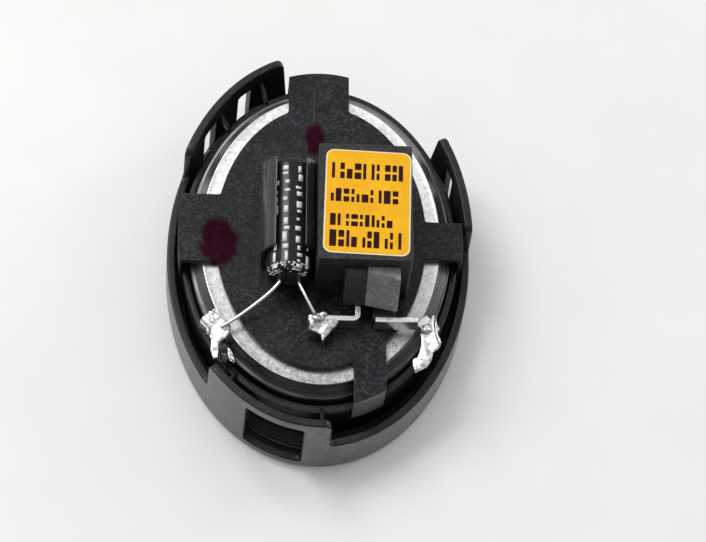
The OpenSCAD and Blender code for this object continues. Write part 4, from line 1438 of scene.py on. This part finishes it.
def build_front():
    # perforated sheet, gently crowned to the front
    def crown(x, y):
        return 0.35 * max(0.0, 1 - (x / 17.4) ** 2 - (y / 26.0) ** 2)

    def place(u, v_, depth):
        return (u, v_, 1.3 + depth - min(0.9, crown(u, v_)))
    outer = [(20.4 * cos(2 * pi * k / 160), 29.1 * sin(2 * pi * k / 160)) for k in range(160)]
    holes = []
    for i in range(-9, 10):
        for j in range(-11, 12):
            x = (i + (abs(j) % 2) / 2) * 2.9
            y = j * 2.9 * 0.866
            if (x / 16.1) ** 2 + (y / 24.7) ** 2 < 1:
                holes.append([(x + cos(-2 * pi * k / 28), y + sin(-2 * pi * k / 28)) for k in range(28)])
    vs, fs = rounded_sheet(outer, holes, place, 0.5, 0.1, 0.9, 2)
    o = make("grille_sheet", vs, fs, M["grille"])
    weigh(o, 60)
    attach(o, "housing"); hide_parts("front_grille")
    # seal
    p = [(20.2, 28.8, 1.82), (20.2, 28.8, 2.58), (17.9, 24.5, 2.58), (17.9, 24.5, 1.82)]
    o = ring_object("seal_strip", p, M["foam"], n=160)
    bevel(o, 0.12, 2)
    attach(o, "housing"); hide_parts("seal_gasket")
    # waveguide: flared mouth
    p = [(17.7, 24.2, 2.62), (17.7, 24.2, 6.28)]
    p += [(12.5, 12.5, 6.28)]
    for k in range(1, 9):
        t_ = k / 8
        r_ = 12.5 + 3.7 * (1 - cos(t_ * pi / 2) ** 1.0)
        p.append((r_, r_, 6.28 - 3.66 * sin(t_ * pi / 2)))
    o = ring_object("waveguide_horn", p, M["frame"], n=160)
    weigh(o, 50)
    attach(o, "housing"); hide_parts("waveguide_ring")
    # dome
    Rd = (9.5 ** 2 + 3.3 ** 2) / 6.6
    zc = 3.0 + Rd
    amax = math.asin(9.5 / Rd)
    prof = [(Rd * sin(amax * k / 20), zc - Rd * cos(amax * k / 20)) for k in range(21)]
    inner = [((Rd - 0.22) * sin(amax * k / 20), zc - (Rd - 0.22) * cos(amax * k / 20)) for k in range(20, -1, -1)]
    vs, fs = [], []
    pr = prof + inner
    n = 128
    for i in range(n):
        t_ = 2 * pi * i / n
        vs.extend((r_ * cos(t_), r_ * sin(t_), min(z, 6.3)) for r_, z in pr)
    m_ = len(pr)
    for i in range(n):
        j = (i + 1) % n
        for k in range(m_ - 1):
            if k == 0:
                fs.append((i * m_, i * m_ + 1, j * m_ + 1))
            elif k == m_ - 2:
                fs.append((i * m_ + k, i * m_ + k + 1, j * m_ + k))
            else:
                fs.append((i * m_ + k, i * m_ + k + 1, j * m_ + k + 1, j * m_ + k))
    o = make("dome_silk", vs, fs, M["silk"])
    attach(o, "diaphragm"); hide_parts("dome_diaphragm")
    # surround, in twelve sectors that bend from the frame to the dome
    sec = []
    sec += [(13.3, 6.5), (13.3, 6.31), (12.5, 6.3)]
    for k in range(0, 13):
        a = pi * k / 12
        sec.append((11.0 + 1.28 * cos(a), 6.3 - 1.28 * sin(a)))
    sec += [(9.5, 6.3), (9.5, 6.48)]
    for k in range(12, -1, -1):
        a = pi * k / 12
        sec.append((11.0 + 1.1 * cos(a), 6.46 - 1.2 * sin(a)))
    sec += [(12.5, 6.48)]
    for q in range(12):
        vs, fs = [], []
        m_ = len(sec)
        nn = 10
        for i in range(nn + 1):
            t_ = 2 * pi * (q + i / nn) / 12
            vs.extend((r_ * cos(t_), r_ * sin(t_), z) for r_, z in sec)
        for i in range(nn):
            for k in range(m_):
                l = (k + 1) % m_
                fs.append((i * m_ + k, i * m_ + l, (i + 1) * m_ + l, (i + 1) * m_ + k))
        o = make("surround_%02d" % (q + 1), vs, fs, M["surround"])
        tm = 2 * pi * (q + 0.5) / 12
        d = Vector((cos(tm), sin(tm), 0))
        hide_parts("surround")
        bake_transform(o)


build_front()

# hidden parts keep their CAD shape and get their own finish
for node_, mt in (("voice_coil_former", "film"), ("voice_coil_winding", "copper"), ("damping_felt", "felt"),
                  ("pole_piece", "steel"), ("magnet", "can"), ("yoke_cup", "steel"), ("chamber_felt", "felt")):
    me = nodes[node_].data
    if not me.materials:
        me.materials.append(M[mt])
    for i in range(len(me.materials)):
        me.materials[i] = M[mt]

# ------------------------------------------------------------------ stage
me = bpy.data.meshes.new("table")
me.from_pydata([(-3, -3, 0), (3, -3, 0), (3, 3, 0), (-3, 3, 0)], [], [(0, 1, 2, 3)])
me.materials.append(M["floor"])
table = bpy.data.objects.new("table", me)
scene.collection.objects.link(table)

w_ = bpy.data.worlds.new("studio")
scene.world = w_
w_.use_nodes = True
wt = w_.node_tree
bg = wt.nodes["Background"]
tc = wt.nodes.new("ShaderNodeTexCoord")
sx = wt.nodes.new("ShaderNodeSeparateXYZ")
wt.links.new(tc.outputs["Generated"], sx.inputs[0])
def wmath(op, a, b):
    n = wt.nodes.new("ShaderNodeMath")
    n.operation = op
    for k, v_ in enumerate((a, b)):
        if isinstance(v_, (int, float)):
            n.inputs[k].default_value = v_
        else:
            wt.links.new(v_, n.inputs[k])
    return n.outputs[0]


# sky: bright overhead and to the north, dimmer low in the south
u_ = wmath("ADD", wmath("MULTIPLY", sx.outputs["Y"], 0.5), wmath("MULTIPLY", sx.outputs["Z"], 0.6))
mr = wt.nodes.new("ShaderNodeMapRange")
wt.links.new(u_, mr.inputs["Value"])
mr.inputs["From Min"].default_value = -0.4
mr.inputs["From Max"].default_value = 0.8
cr = wt.nodes.new("ShaderNodeValToRGB")
els = cr.color_ramp.elements
els.new(0.5)
for e_, (p_, c_) in zip(els, ((0.0, 0.10), (0.5, 0.52), (1.0, 0.90))):
    e_.position = p_
    e_.color = (c_, c_, c_ * 1.01, 1)
wt.links.new(mr.outputs["Result"], cr.inputs["Fac"])
wt.links.new(cr.outputs["Color"], bg.inputs["Color"])
bg.inputs["Strength"].default_value = 0.95


def area(name, loc, size, energy, aim=(0, 0, 0.01), col=(1, 1, 1)):
    l = bpy.data.lights.new(name, "AREA")
    l.shape = "RECTANGLE"
    l.size, l.size_y = size
    l.energy = energy
    l.color = col
    ob_ = bpy.data.objects.new(name, l)
    scene.collection.objects.link(ob_)
    ob_.location = loc
    ob_.rotation_euler = (Vector(aim) - Vector(loc)).to_track_quat("-Z", "Y").to_euler()
    return ob_


key_dir = Vector((-0.45, 0.36, 0.82)).normalized()
area("window_light", tuple(key_dir * 1.0), (0.55, 0.45), 5.0)
area("side_light", tuple(Vector((0.83, 0.47, 0.34)).normalized() * 0.9), (0.25, 0.35), 1.3)
scene.view_settings.view_transform = "Standard"
scene.view_settings.look = "None"
